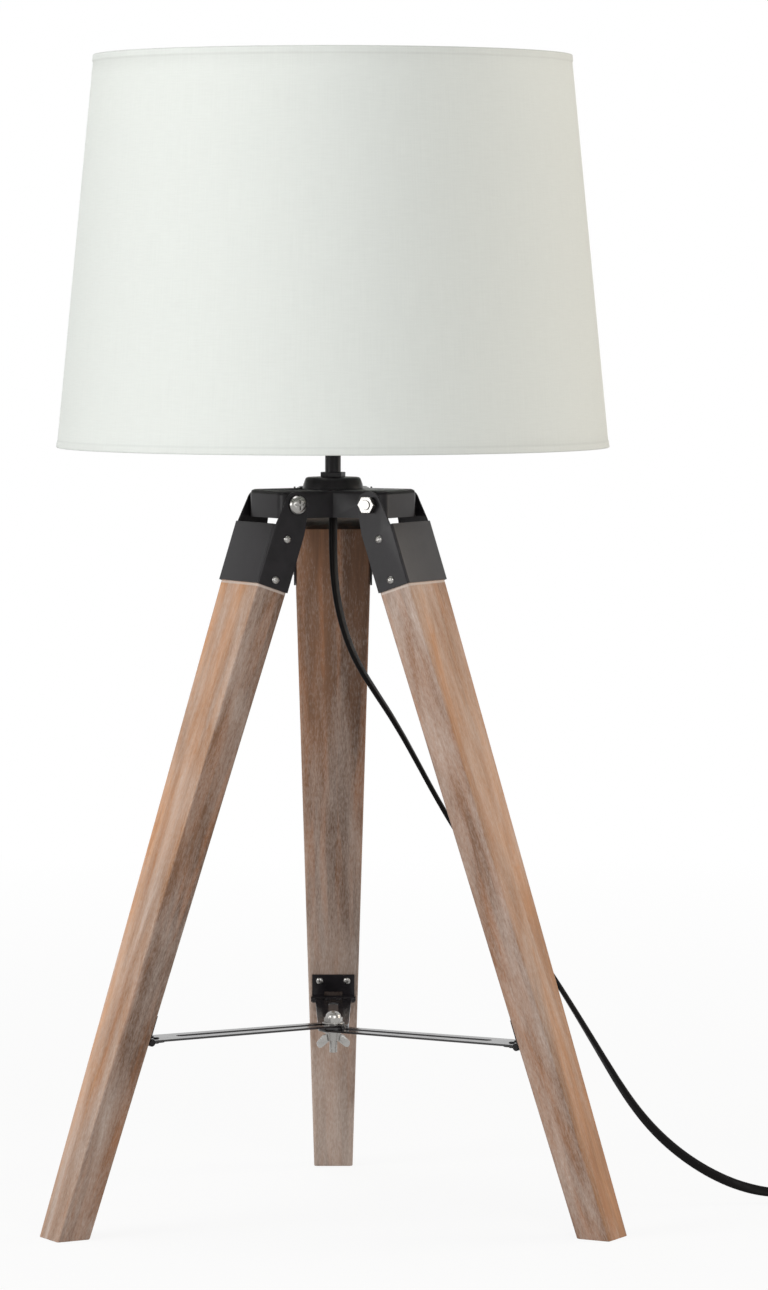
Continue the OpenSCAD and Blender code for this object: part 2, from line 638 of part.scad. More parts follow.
module wing_nut() color(CHROME) translate([0, 0, wing_z]) mirror([0, 0, 1]) difference() {
    union() {
        cylinder(h = wing_boss_h, d1 = wing_boss_d + 1, d2 = wing_boss_d - 1, $fn = 40);
        // two wings that spread away from the arms, turned a little to the viewer's right
        rotate([0, 0, 12]) for (s = [0, 1]) mirror([s, 0, 0])
            translate([0, wing_t / 2, 0]) rotate([90, 0, 0]) linear_extrude(wing_t) polygon([
                [wing_boss_d / 2 - 2, 0.6], [wing_reach * 0.62, 2], [wing_reach, 6.4],
                [wing_reach * 0.98, 8.6], [wing_reach * 0.86, 9.9], [wing_reach * 0.7, 9.6],
                [wing_boss_d / 2 - 2, wing_boss_h]]);
    }
    translate([0, 0, -cut]) cylinder(h = wing_boss_h + 12, d = clamp_bolt_d + 2 * run_gap, $fn = 32);
}

// ---- cord: a flat twin flex swept along its own points
// each point: x, y, z and the flex's turn, 0 with its broad side to the front
DROP = [
    [0, 0, 446.5, 45], [0, 0, 440, 46], [0, 0, 424, 50], [0, 0, 408, 54], [2, 1, 391, 58],
    [6, 3, 375, 62], [11, 5, 360, 66], [17, 6, 347, 70], [26, 8, 335, 75], [36, 11, 320, 80],
    [46, 14, 303, 85], [54, 16, 287, 90], [63, 18, 270, 90], [72, 19, 254, 90],
    [81, 20, 239, 90], [91, 20, 225, 90], [101, 21, 210, 90], [111, 21, 195, 90],
    [120, 21, 181, 90], [130, 22, 166, 90], [140, 22, 151, 92], [149, 22, 137, 95],
    [158, 23, 122, 100], [167, 24, 107, 108], [176, 25, 92, 116], [184, 26, 78, 125],
    [193, 27, 64, 135], [204, 28, 50, 145], [216, 29, 38, 155], [230, 30, 27, 165],
    [245, 30, 18, 172], [260, 30, 11, 180], [275, 31, 7, 205], [290, 32, 5, 230],
    [305, 33, 6, 255], [314, 34, 8, 265], [320, 34, 8, 270]];
LEAD = [[382, 34, 8, 0], [388, 34, 8, 0], [400, 34, 6, 30], [410, 34, 5, 60],
    [418, 34, 4, 85], [424, 34, 3.5, 90]];
TAIL = [[424, 116, 11.1, 90], [418, 116, 11, 85], [406, 116, 10, 60], [394, 116, 8, 20],
    [387, 116, 7.2, 0], [381, 116, 7.2, 0]];
COIL_AT = [430, 75];
COIL_LOW = 3.5;
SWITCH_AT = [351, 34];
PLUG_AT = [381, 116, 7.2];
FLOOR_GAP = 0.2;

function unit(v) = v / norm(v);
function xyz(p) = [p[0], p[1], p[2]];
function way(pts, i) = let (n = len(pts) - 1)
    unit(xyz(pts[min(i + 1, n)]) - xyz(pts[max(i - 1, 0)]));
// the cord's section at one point: sides n, half width a, half thickness b
function section(n, a, b) = [for (j = [0:n - 1]) let (t = 360 * (j + 0.5) / n)
    [a * cos(t) / cos(180 / n), b * sin(t) / (n % 4 == 0 ? cos(180 / n) : 1)]];
function ring(p, dir, ref, turn, n) = let (
    e = unit(ref - (ref * dir) * dir), f = cross(dir, e),
    broad = f * cos(turn) + e * sin(turn), thin = cross(dir, broad))
    [for (q = section(n, cord_w / 2, cord_t / 2)) p + q[0] * broad + q[1] * thin];

module sweep(rings) {
    n = len(rings[0]);
    m = len(rings);
    polyhedron(
        points = [for (r = rings) each r],
        faces = concat(
            [for (j = [1:n - 2]) [0, j, j + 1]],
            [for (i = [0:m - 2], j = [0:n - 1]) each [
                [i * n + j, (i + 1) * n + j, (i + 1) * n + (j + 1) % n],
                [i * n + j, (i + 1) * n + (j + 1) % n, i * n + (j + 1) % n]]],
            [for (j = [1:n - 2]) [(m - 1) * n, (m - 1) * n + j + 1, (m - 1) * n + j]]));
}

// the ends of a run are square to the axis given
module flex(pts, ref, first, last) color(PLASTIC) {
    n = len(pts) - 1;
    sweep([for (i = [0:n]) ring(xyz(pts[i]),
        i < 2 ? first : (i > n - 2 ? last : way(pts, i)), ref, pts[i][3], 8)]);
}

// the coil: two layers that spiral in and out again, climbing in the half turn at the middle
COIL_TURNS = 4.5;
COIL_STEPS = 24;
function coil_rad(s) = coil_r - coil_pitch * (COIL_TURNS / 2 - abs(s - COIL_TURNS / 2));
function coil_up(s) = let (t = min(max((s - COIL_TURNS / 2 + 0.25) / 0.5, 0), 1))
    COIL_LOW + coil_layer * (1 - cos(180 * t)) / 2;
function coil_pt(s) = let (a = 360 * s - 90)
    [COIL_AT[0] + coil_rad(s) * cos(a), COIL_AT[1] + coil_rad(s) * sin(a), coil_up(s)];
coil_n = COIL_TURNS * COIL_STEPS;
coil_rings = concat(
    [ring(coil_pt(0) - [6, 0, 0], [1, 0, 0], [0, 0, 1], 90, 6)],
    [for (i = [0:coil_n]) let (s = i / COIL_STEPS, a = 360 * s)
        ring(coil_pt(s), [cos(a), sin(a), 0], [0, 0, 1], 90, 6)],
    [ring(coil_pt(COIL_TURNS) - [6, 0, 0], [-1, 0, 0], [0, 0, 1], 90, 6)]);
// least gap between two turns, one or more turns apart, at the same place on the ring
coil_gaps = [for (i = [0:coil_n - COIL_STEPS], m = [1:floor((coil_n - i) / COIL_STEPS)])
    let (s = i / COIL_STEPS, across = abs(coil_rad(s) - coil_rad(s + m)) - cord_t,
        up = abs(coil_up(s) - coil_up(s + m)) - cord_w) max(across, up)];
echo(coil_least_gap = min(coil_gaps));

module cord_coil() color(PLASTIC) sweep(coil_rings);

// ---- inline switch
switch_mid = SWITCH_AT[0];
rocker_axis_z = FLOOR_GAP + switch_h - 4;
rocker_rest = 8;

module switch_plan(i) {
    l = switch_l / 2 - i;
    w = switch_w / 2 - i;
    c = max(switch_w * 0.36 - i, 1);
    square([2 * (l - c), 2 * w], center = true);
    square([2 * l, 2 * (w - c)], center = true);
    for (x = [-1, 1], y = [-1, 1]) translate([x * (l - c), y * (w - c)]) circle(c, $fn = 32);
}

module at_switch() translate([SWITCH_AT[0], SWITCH_AT[1], FLOOR_GAP]) children();

module switch_screw_spots() for (x = [-1, 1]) translate([x * switch_l * 0.33, 0, 0]) children();

module switch_base() color(PLASTIC) at_switch() difference() {
    linear_extrude(switch_h / 2 - fit) switch_plan(0);
    translate([0, 0, switch_wall]) linear_extrude(switch_h) difference() {
        switch_plan(switch_wall);
        for (x = [-1, 1]) translate([x * switch_l * 0.33, 0]) circle(3.2, $fn = 24);
    }
    switch_screw_spots() {
        translate([0, 0, -cut]) cylinder(h = switch_h, d = screw_d + 2 * fit, $fn = 20);
        translate([0, 0, -cut]) cylinder(h = cut + screw_head_h + fit, d = screw_head_d + 2 * seat, $fn = 24);
    }
}

module switch_cover() color(PLASTIC) at_switch() difference() {
    union() {
        translate([0, 0, switch_h / 2]) linear_extrude(switch_h / 2 - 1.2) switch_plan(0);
        translate([0, 0, switch_h / 2]) linear_extrude(switch_h / 2) switch_plan(1.2);
    }
    translate([0, 0, switch_h / 2 - cut]) linear_extrude(switch_h / 2 - switch_wall + cut) difference() {
        switch_plan(switch_wall);
        for (x = [-1, 1]) translate([x * switch_l * 0.33, 0]) circle(3.2, $fn = 24);
    }
    translate([-rocker_l / 2 - rocker_gap, -rocker_w / 2 - rocker_gap, switch_h / 2])
        cube([rocker_l + 2 * rocker_gap, rocker_w + 2 * rocker_gap, switch_h]);
    switch_screw_spots() cylinder(h = switch_h - 3, d = screw_d + 2 * fit, $fn = 20);
}

module switch_screws() color(CHROME) at_switch() switch_screw_spots() {
    cylinder(h = screw_head_h, d = screw_head_d, $fn = 24);
    cylinder(h = switch_h - 3.4, d = screw_d, $fn = 20);
}

module switch_rocker() color("#2b2b2d") translate([SWITCH_AT[0], SWITCH_AT[1], rocker_axis_z])
    rotate([0, -rocker_rest, 0]) rotate([90, 0, 0]) {
        linear_extrude(rocker_w, center = true) polygon([
            [-rocker_l * 0.46, 3.6], [-rocker_l * 0.4, 5], [-rocker_l * 0.2, 4.3], [0, 4],
            [rocker_l * 0.2, 4.3], [rocker_l * 0.4, 5], [rocker_l * 0.46, 3.6],
            [rocker_l * 0.36, -1.4], [-rocker_l * 0.36, -1.4]]);
        // pivot stubs that run in the cover's side walls
        cylinder(h = rocker_w + 2 * rocker_gap - 0.1, d = 2.4, center = true, $fn = 20);
    }

// ---- flat two-pin plug
pin_root_d = 3.2;
pin_root_l = 10;

module plug_body() color(PLASTIC) translate([PLUG_AT[0] - plug_l, PLUG_AT[1], PLUG_AT[2]])
    difference() {
        translate([0, 0, -plug_h / 2]) linear_extrude(plug_h) polygon([
            [0, -plug_w * 0.32], [plug_l * 0.08, -plug_w * 0.37], [plug_l * 0.42, -plug_w * 0.37],
            [plug_l * 0.62, -plug_w * 0.27], [plug_l * 0.86, -plug_w * 0.15], [plug_l, -plug_w * 0.15],
            [plug_l, plug_w * 0.15], [plug_l * 0.86, plug_w * 0.15], [plug_l * 0.62, plug_w * 0.27],
            [plug_l * 0.42, plug_w * 0.37], [plug_l * 0.08, plug_w * 0.37], [0, plug_w * 0.32]]);
        // the back end thins towards the cord
        for (s = [0, 1]) mirror([0, 0, s]) translate([plug_l * 0.62, -plug_w, plug_h * 0.3])
            cube([plug_l, 2 * plug_w, plug_h]);
        for (s = [-1, 1]) translate([-cut, s * plug_pin_gap / 2, 0]) rotate([0, 90, 0])
            cylinder(h = cut + pin_root_l + fit, d = pin_root_d + 2 * fit, $fn = 32);
    }

module plug_pins() color(CHROME) translate([PLUG_AT[0] - plug_l, PLUG_AT[1], PLUG_AT[2]])
    for (s = [-1, 1]) translate([0, s * plug_pin_gap / 2, 0]) rotate([0, -90, 0]) {
        translate([0, 0, -pin_root_l]) cylinder(h = pin_root_l + plug_pin_l / 2, d = pin_root_d, $fn = 32);
        translate([0, 0, fit]) cylinder(h = plug_pin_l - fit, d = plug_pin_d, $fn = 32);
    }

shade_cover();
shade_wire(wire_high);  // shade_wire_top
shade_wire(wire_low);  // shade_wire_bottom
shade_fitter();
lampholder_cap();
lampholder_body();
lampholder_base();
screw_shell();
centre_contact();
clamp_ring();
stem_tube();
stem_nut(hub_top + dome_h + fit);  // collar_nut
hub_dome();
hub_shell();
stem_nut(hub_top - hub_wall - fit - nut_t);  // lock_nut
cord_bush();
pivot_bolts();
pivot_nuts();
leg_wood(AZ[0], LEVEL[0]);  // leg_a_wood
leg_wood(AZ[1], LEVEL[1]);  // leg_b_wood
leg_wood(AZ[2], LEVEL[2]);  // leg_c_wood
leg_cap(AZ[0]);  // leg_a_cap
leg_cap(AZ[1]);  // leg_b_cap
leg_cap(AZ[2]);  // leg_c_cap
cap_screws(AZ[0]);  // leg_a_cap_screws
cap_screws(AZ[1]);  // leg_b_cap_screws
cap_screws(AZ[2]);  // leg_c_cap_screws
leg_leaf(AZ[0], LEVEL[0]);  // leg_a_leaf
leg_leaf(AZ[1], LEVEL[1]);  // leg_b_leaf
leg_leaf(AZ[2], LEVEL[2]);  // leg_c_leaf
leaf_screws(AZ[0], LEVEL[0]);  // leg_a_leaf_screws
leaf_screws(AZ[1], LEVEL[1]);  // leg_b_leaf_screws
leaf_screws(AZ[2], LEVEL[2]);  // leg_c_leaf_screws
hinge_pin(AZ[0], LEVEL[0]);  // hinge_pin_a
hinge_pin(AZ[1], LEVEL[1]);  // hinge_pin_b
hinge_pin(AZ[2], LEVEL[2]);  // hinge_pin_c
arm(AZ[0], LEVEL[0]);  // arm_a
arm(AZ[1], LEVEL[1]);  // arm_b
arm(AZ[2], LEVEL[2]);  // arm_c
arm_leaf(AZ[0], LEVEL[0]);  // arm_a_leaf
arm_leaf(AZ[1], LEVEL[1]);  // arm_b_leaf
arm_leaf(AZ[2], LEVEL[2]);  // arm_c_leaf
arm_rivets(AZ[0], LEVEL[0]);  // arm_a_rivets
arm_rivets(AZ[1], LEVEL[1]);  // arm_b_rivets
arm_rivets(AZ[2], LEVEL[2]);  // arm_c_rivets
clamp_bolt();
clamp_washers();
wing_nut();
flex(DROP, [0, 1, 0], [0, 0, -1], [1, 0, 0]);  // cord_drop
flex(LEAD, [0, 0, 1], [1, 0, 0], [1, 0, 0]);  // cord_lead
cord_coil();
flex(TAIL, [0, 0, 1], [-1, 0, 0], [-1, 0, 0]);  // cord_tail
switch_base();
switch_cover();
switch_screws();
switch_rocker();
plug_body();
plug_pins();
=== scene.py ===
"""A folding tripod table lamp, dressed over its CAD frame: a fabric drum shade, three
whitewashed wooden legs, black steel fittings and a flat black cord. Metres, +Z up."""

import json
import math

import bmesh
import bpy
from bpy.props import FloatProperty, FloatVectorProperty, IntProperty, PointerProperty
from mathutils import Matrix, Vector

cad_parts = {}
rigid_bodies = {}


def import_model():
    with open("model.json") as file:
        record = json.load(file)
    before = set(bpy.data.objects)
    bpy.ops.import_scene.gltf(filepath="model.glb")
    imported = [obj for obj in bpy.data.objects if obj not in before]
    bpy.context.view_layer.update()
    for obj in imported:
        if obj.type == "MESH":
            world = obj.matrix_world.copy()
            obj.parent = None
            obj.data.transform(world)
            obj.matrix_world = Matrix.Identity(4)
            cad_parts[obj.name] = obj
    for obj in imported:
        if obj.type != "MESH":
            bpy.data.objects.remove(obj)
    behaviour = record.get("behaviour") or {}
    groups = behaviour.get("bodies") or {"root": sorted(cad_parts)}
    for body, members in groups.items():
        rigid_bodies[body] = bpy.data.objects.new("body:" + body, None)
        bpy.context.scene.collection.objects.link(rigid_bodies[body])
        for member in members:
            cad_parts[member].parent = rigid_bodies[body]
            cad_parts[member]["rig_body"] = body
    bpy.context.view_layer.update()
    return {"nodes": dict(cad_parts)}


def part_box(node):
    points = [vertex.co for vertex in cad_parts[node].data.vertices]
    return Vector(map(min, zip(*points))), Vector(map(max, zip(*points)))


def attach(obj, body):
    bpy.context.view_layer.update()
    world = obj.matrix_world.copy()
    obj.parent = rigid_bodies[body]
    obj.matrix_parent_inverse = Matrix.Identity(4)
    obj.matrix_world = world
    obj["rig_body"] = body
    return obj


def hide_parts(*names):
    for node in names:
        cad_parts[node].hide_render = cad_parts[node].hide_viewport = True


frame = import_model()

bl_info = {
    "name": "Tripod Table Lamp",
    "version": (1, 0, 0),
    "blender": (4, 5, 0),
    "location": "View3D > Sidebar > Lamp",
    "description": "Builds the shade, legs, fittings and cord of a folding tripod table lamp",
    "category": "Add Mesh",
}

NODES = frame["nodes"]

# the legs, as the CAD frame has them: direction in degrees, and the level of each one's arm
LEGS = {"a": (90, 0), "b": (210, 1), "c": (330, -1)}
LEG_TILT = math.radians(18.6)
PIVOT_R, PIVOT_Z = 0.0404, 0.4547
LEG_T, LEG_W, FOOT_W = 0.022, 0.048, 0.0257
# where the timber starts and where the steel cap ends, along the leg from its pivot
WOOD_TOP, CAP_END = 0.016, 0.0548
# height of the hinges' axes, and how far the painted shade on the wood behind them reaches, across
# and up
HINGE_Z, HINGE_SHADE_REACH = 0.119, (0.012, 0.014)

# the shade, as the CAD frame has it: radius below and above, and the cloth's thickness
SHADE_LOW_R, SHADE_TOP_R, SHADE_WALL = 0.175, 0.151, 0.0012
# height of its folded hems, how far they stand proud and the radius of their fold
SHADE_HEM, HEM_PROUD, HEM_FOLD = 0.0042, 0.0005, 0.0006
# radius at which the cloth's threads are measured round the drum
CLOTH_R = 0.163

# the cord's route, as the CAD frame has it: x, y, z in metres and the flex's turn in degrees
CORD_DROP = [
    (0, 0, .4465, 45), (0, 0, .440, 46), (0, 0, .424, 50), (0, 0, .408, 54),
    (.002, .001, .391, 58), (.006, .003, .375, 62), (.011, .005, .360, 66),
    (.017, .006, .347, 70), (.026, .008, .335, 75), (.036, .011, .320, 80),
    (.046, .014, .303, 85), (.054, .016, .287, 90), (.063, .018, .270, 90),
    (.072, .019, .254, 90), (.081, .020, .239, 90), (.091, .020, .225, 90),
    (.101, .021, .210, 90), (.111, .021, .195, 90), (.120, .021, .181, 90),
    (.130, .022, .166, 90), (.140, .022, .151, 92), (.149, .022, .137, 95),
    (.158, .023, .122, 100), (.167, .024, .107, 108), (.176, .025, .092, 116),
    (.184, .026, .078, 125), (.193, .027, .064, 135), (.204, .028, .050, 145),
    (.216, .029, .038, 155), (.230, .030, .027, 165), (.245, .030, .018, 172),
    (.260, .030, .011, 180), (.275, .031, .007, 205), (.290, .032, .005, 230),
    (.305, .033, .006, 255), (.314, .034, .008, 265), (.320, .034, .008, 270)]
CORD_LEAD = [
    (.382, .034, .008, 0), (.388, .034, .008, 0), (.400, .034, .006, 30),
    (.410, .034, .005, 60), (.418, .034, .004, 85), (.424, .034, .0035, 90)]
CORD_TAIL = [
    (.424, .116, .0111, 90), (.418, .116, .011, 85), (.406, .116, .010, 60),
    (.394, .116, .008, 20), (.387, .116, .0072, 0), (.381, .116, .0072, 0)]
# the coil: its middle, its outer radius, the distance between turns and between its two
# layers, the height of the lower one, the number of turns and the points in each
COIL_AT, COIL_R, COIL_PITCH = (.430, .075), .041, .0051
COIL_LAYER, COIL_LOW, COIL_TURNS, COIL_STEPS = .0076, .0035, 4.5, 48
CORD_W, CORD_T = .0064, .0033

# the camera's lens in mm, its place in metres and its turn in degrees
LENS, CAMERA_AT, CAMERA_TURN = 153.63, (0, -3.4956, 0.5945), (86.224, 0, -0.531)


# ---- small helpers

def linear(colour):
    """The linear values of an sRGB hex colour, as a shader takes them."""
    parts = [int(colour[i:i + 2], 16) / 255 for i in (1, 3, 5)]
    return [p / 12.92 if p <= 0.04045 else ((p + 0.055) / 1.055) ** 2.4 for p in parts] + [1.0]


def add(tree, kind, links=(), values=(), **settings):
    """Adds a node, with its properties, its sockets' values and what feeds its sockets."""
    node = tree.nodes.new(kind)
    for name, value in settings.items():
        setattr(node, name, value)
    for socket, value in dict(values).items():
        node.inputs[socket].default_value = value
    for socket, source in dict(links).items():
        tree.links.new(source, node.inputs[socket])
    return node


def blank(name, **values):
    """A new material with its tree and its Principled shader, whose sockets take values."""
    material = bpy.data.materials.new(name)
    material.use_nodes = True
    tree = material.node_tree
    shader = tree.nodes["Principled BSDF"]
    for socket, value in values.items():
        shader.inputs[socket.replace("_", " ")].default_value = value
    return material, tree, shader


def seen_rays(tree):
    """One where the camera, a mirror or a clear piece looks, and nought for plain light."""
    ray = add(tree, "ShaderNodeLightPath")
    seen = add(tree, "ShaderNodeMath", {0: ray.outputs["Is Camera Ray"],
                                        1: ray.outputs["Is Transmission Ray"]},
               operation="MAXIMUM")
    return add(tree, "ShaderNodeMath", {0: seen.outputs[0], 1: ray.outputs["Is Glossy Ray"]},
               operation="MAXIMUM")


def paint(material, *nodes):
    """Gives CAD nodes a material."""
    for name in nodes:
        data = NODES[name].data
        data.materials.clear()
        data.materials.append(material)


def place(bm, name, body, material, slot, *stands_for, smooth=35):
    """Makes a finished piece of a bmesh, riding on a body and standing for CAD nodes."""
    mesh = bpy.data.meshes.new(name)
    bm.to_mesh(mesh)
    bm.free()
    mesh.materials.append(material)
    mesh.shade_smooth()
    mesh.set_sharp_from_angle(angle=math.radians(smooth))
    piece = bpy.data.objects.new(name, mesh)
    bpy.context.scene.collection.objects.link(piece)
    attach(piece, body)
    if stands_for:
        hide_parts(*stands_for)
    return piece


def rounded(node, name, material, slot, width, angle=38, segments=2):
    """A merged copy of a CAD node whose hard edges are rounded by a bevel."""
    bm = bmesh.new()
    bm.from_mesh(NODES[node].data)
    bmesh.ops.remove_doubles(bm, verts=bm.verts, dist=0.000002)
    bmesh.ops.dissolve_limit(
        bm, angle_limit=math.radians(0.5), verts=bm.verts, edges=bm.edges)
    piece = place(bm, name, NODES[node]["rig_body"], material, slot, node)
    bevel = piece.modifiers.new("rounded_edges", "BEVEL")
    bevel.width = width
    bevel.segments = segments
    bevel.limit_method = "ANGLE"
    bevel.angle_limit = math.radians(angle)
    bevel.miter_outer = "MITER_ARC"
    bevel.harden_normals = True
    return piece


def leg_matrix(leg):
    """From a leg's own axes, x outwards and z up along it from the pivot, to the row frame."""
    turn = math.radians(LEGS[leg][0])
    return (Matrix.Rotation(turn, 4, "Z") @ Matrix.Translation((PIVOT_R, 0, PIVOT_Z))
            @ Matrix.Rotation(-LEG_TILT, 4, "Y"))


# ---- the user's sizes and colours

class LampSizes(bpy.types.PropertyGroup):
    """Sizes of the visible detail."""

    timber_round: FloatProperty(
        name="Timber edge", description="Radius of the legs' sanded edges",
        default=0.0019, min=0.0002, max=0.004, unit="LENGTH")
    steel_round: FloatProperty(
        name="Steel edge", description="Radius of the deburred edges of the sheet steel",
        default=0.0003, min=0.0001, max=0.0005, unit="LENGTH")
    thread_spacing: FloatProperty(
        name="Thread spacing", description="Distance between two threads of the shade's fabric",
        default=0.0009, min=0.0003, max=0.002, unit="LENGTH")
    relief_length: FloatProperty(
        name="Strain relief", description="Length of the sleeves on the switch and the plug",
        default=0.024, min=0.02, max=0.06, unit="LENGTH")
    cord_sides: IntProperty(
        name="Cord sides", description="Points around the cord's section",
        default=16, min=8, max=32)
    tie_width: FloatProperty(
        name="Tie width", description="Width of the tie around the coiled cord",
        default=0.008, min=0.004, max=0.016, unit="LENGTH")


class LampColours(bpy.types.PropertyGroup):
    """Colours of the main finishes."""

    fabric: FloatVectorProperty(
        name="Fabric", description="Colour of the shade's cotton", subtype="COLOR", size=4,
        default=linear("#E9ECE8"))
    timber: FloatVectorProperty(
        name="Timber", description="Colour of the wood's outward faces", subtype="COLOR",
        size=4, default=linear("#A67A58"))
    timber_inner: FloatVectorProperty(
        name="Inner timber", description="Colour of the wood's other faces", subtype="COLOR",
        size=4, default=linear("#88634A"))
    heartwood: FloatVectorProperty(
        name="Heartwood", description="Colour of the warm streaks in the wood",
        subtype="COLOR", size=4, default=linear("#A3714F"))
    wash: FloatVectorProperty(
        name="Whitewash", description="Colour of the wash on the wood", subtype="COLOR", size=4,
        default=linear("#C9BBB1"))
    coating: FloatVectorProperty(
        name="Powder coat", description="Colour of the coated steel", subtype="COLOR", size=4,
        default=linear("#1B191B"))


# ---- finishes

def grain_layers(tree, leg, own):
    """The noises that a leg's wood is made of, stretched along its grain."""
    direction, level = LEGS[leg]
    shift = add(tree, "ShaderNodeVectorMath", {0: own},
                {1: (0.31 * level, 0.17 * direction, 0.053 * direction)}, operation="ADD")
    # name: size across and along the grain in metres, detail, roughness, distortion
    layers = {
        "tone": (0.022, 0.130, 3, 0.5, 0.3),
        "streak": (0.0070, 0.110, 4, 0.55, 0.5),
        "wipe": (0.014, 0.085, 6, 0.62, 0.5),
        "grain": (0.0016, 0.030, 4, 0.6, 0.2),
        "pore": (0.0008, 0.0034, 3, 0.65, 0.0),
    }
    made = {}
    for name, (across, along, detail, rough, twist) in layers.items():
        scaled = add(tree, "ShaderNodeVectorMath", {0: shift.outputs[0]},
                     {1: (1 / across, 1 / across, 1 / along)}, operation="MULTIPLY")
        made[name] = add(tree, "ShaderNodeTexNoise", {"Vector": scaled.outputs[0]},
                         {"Scale": 1.0, "Detail": detail, "Roughness": rough,
                          "Distortion": twist}).outputs["Fac"]
    return made


def painted_hinge_shade(tree, across, height, facing, pore):
    """A ragged spot of painted shade on the inward face, behind the hinge and its arm."""
    wide, tall = HINGE_SHADE_REACH
    # its middle is just below the hinge's axis
    middle = HINGE_Z - 0.003
    spot = add(tree, "ShaderNodeCombineXYZ", {"X": across, "Y": height})
    spot = add(tree, "ShaderNodeVectorMath", {0: spot.outputs[0]},
               {1: (1 / wide, 1 / tall, 0.0), 2: (0.0, -middle / tall, 0.0)},
               operation="MULTIPLY_ADD")
    spot = add(tree, "ShaderNodeVectorMath", {0: spot.outputs[0]}, operation="LENGTH")
    ragged = add(tree, "ShaderNodeMath", {0: pore, 2: spot.outputs["Value"]}, {1: 0.8},
                 operation="MULTIPLY_ADD")
    behind_hinge_shade = add(tree, "ShaderNodeMapRange", {"Value": ragged.outputs[0]},
                 {"From Min": 1.0, "From Max": 1.65, "To Min": 0.85, "To Max": 0.0})
    inward = add(tree, "ShaderNodeMapRange", {"Value": facing},
                 {"From Min": -0.9, "From Max": -0.7, "To Min": 1.0, "To Max": 0.0})
    return add(tree, "ShaderNodeMath", {0: behind_hinge_shade.outputs[0], 1: inward.outputs[0]},
               operation="MULTIPLY")


def cap_line(tree, along, facing):
    """The thin pale line that the wash has run into under the steel cap."""
    under = add(tree, "ShaderNodeMath", {0: along}, {1: CAP_END + 0.0009}, operation="ADD")
    under = add(tree, "ShaderNodeMath", {0: under.outputs[0]}, operation="ABSOLUTE")
    line = add(tree, "ShaderNodeMapRange", {"Value": under.outputs[0]},
               {"From Min": 0.0004, "From Max": 0.0011, "To Min": 0.75, "To Max": 0.0})
    capped = add(tree, "ShaderNodeMapRange", {"Value": facing},
                 {"From Min": -0.6, "From Max": -0.3})
    return add(tree, "ShaderNodeMath", {0: line.outputs[0], 1: capped.outputs[0]},
               operation="MULTIPLY")


def stained_pine(tree, made, outward, across, level, arris_shade):
    """The wood under the wash, with its growth lines and warm streaks. level is the stain's tone,
    and arris_shade its change from one arris to the other: painted shade across the face."""
    colours = bpy.context.scene.lamp_colours
    wood = add(tree, "ShaderNodeMix", {0: outward},
               {6: colours.timber_inner, 7: colours.timber}, data_type="RGBA")
    tone = add(tree, "ShaderNodeMapRange", {"Value": made["tone"]},
               {"From Min": 0.34, "From Max": 0.66, "To Min": 0.66 * level,
                "To Max": 1.30 * level})
    # painted shade: one arris of each face lighter and the other darker
    edge = add(tree, "ShaderNodeMapRange", {"Value": across},
               {"From Min": -LEG_W / 2, "From Max": LEG_W / 2, "To Min": 1 + arris_shade,
                "To Max": 1 - arris_shade})
    lines = add(tree, "ShaderNodeMapRange", {"Value": made["grain"]},
                {"From Min": 0.30, "From Max": 0.65, "To Min": 0.84, "To Max": 1.10})
    light = add(tree, "ShaderNodeMath", {0: tone.outputs[0], 1: edge.outputs[0]},
                operation="MULTIPLY")
    light = add(tree, "ShaderNodeMath", {0: light.outputs[0], 1: lines.outputs[0]},
                operation="MULTIPLY")
    wood = add(tree, "ShaderNodeVectorMath", {0: wood.outputs[2], "Scale": light.outputs[0]},
               operation="SCALE")
    heart = add(tree, "ShaderNodeMapRange", {"Value": made["streak"]},
                {"From Min": 0.50, "From Max": 0.68, "To Min": 0.0, "To Max": 0.5})
    return add(tree, "ShaderNodeMix", {0: heart.outputs[0], 6: wood.outputs[0]},
               {7: colours.heartwood}, data_type="RGBA")


def wiped_wash(tree, made, outward, height, outer, inner, low, patchy):
    """The wash's share: outer on the outward face, inner on the others and low more at the
    floor, then its patches, whose unevenness is patchy, and its specks."""
    share = add(tree, "ShaderNodeMapRange", {"Value": height},
                {"From Min": 0.40, "From Max": 0.0, "To Min": 0.0, "To Max": low})
    face = add(tree, "ShaderNodeMapRange", {"Value": outward},
               {"To Min": inner, "To Max": outer})
    share = add(tree, "ShaderNodeMath", {0: share.outputs[0], 1: face.outputs[0]},
                operation="ADD")
    for name, gain in (("wipe", patchy), ("pore", 0.8)):
        centred = add(tree, "ShaderNodeMath", {0: made[name]}, {1: 0.5}, operation="SUBTRACT")
        share = add(tree, "ShaderNodeMath", {0: centred.outputs[0], 2: share.outputs[0]},
                    {1: gain}, operation="MULTIPLY_ADD")
    return add(tree, "ShaderNodeClamp", {"Value": share.outputs[0]}, {"Max": 0.92})


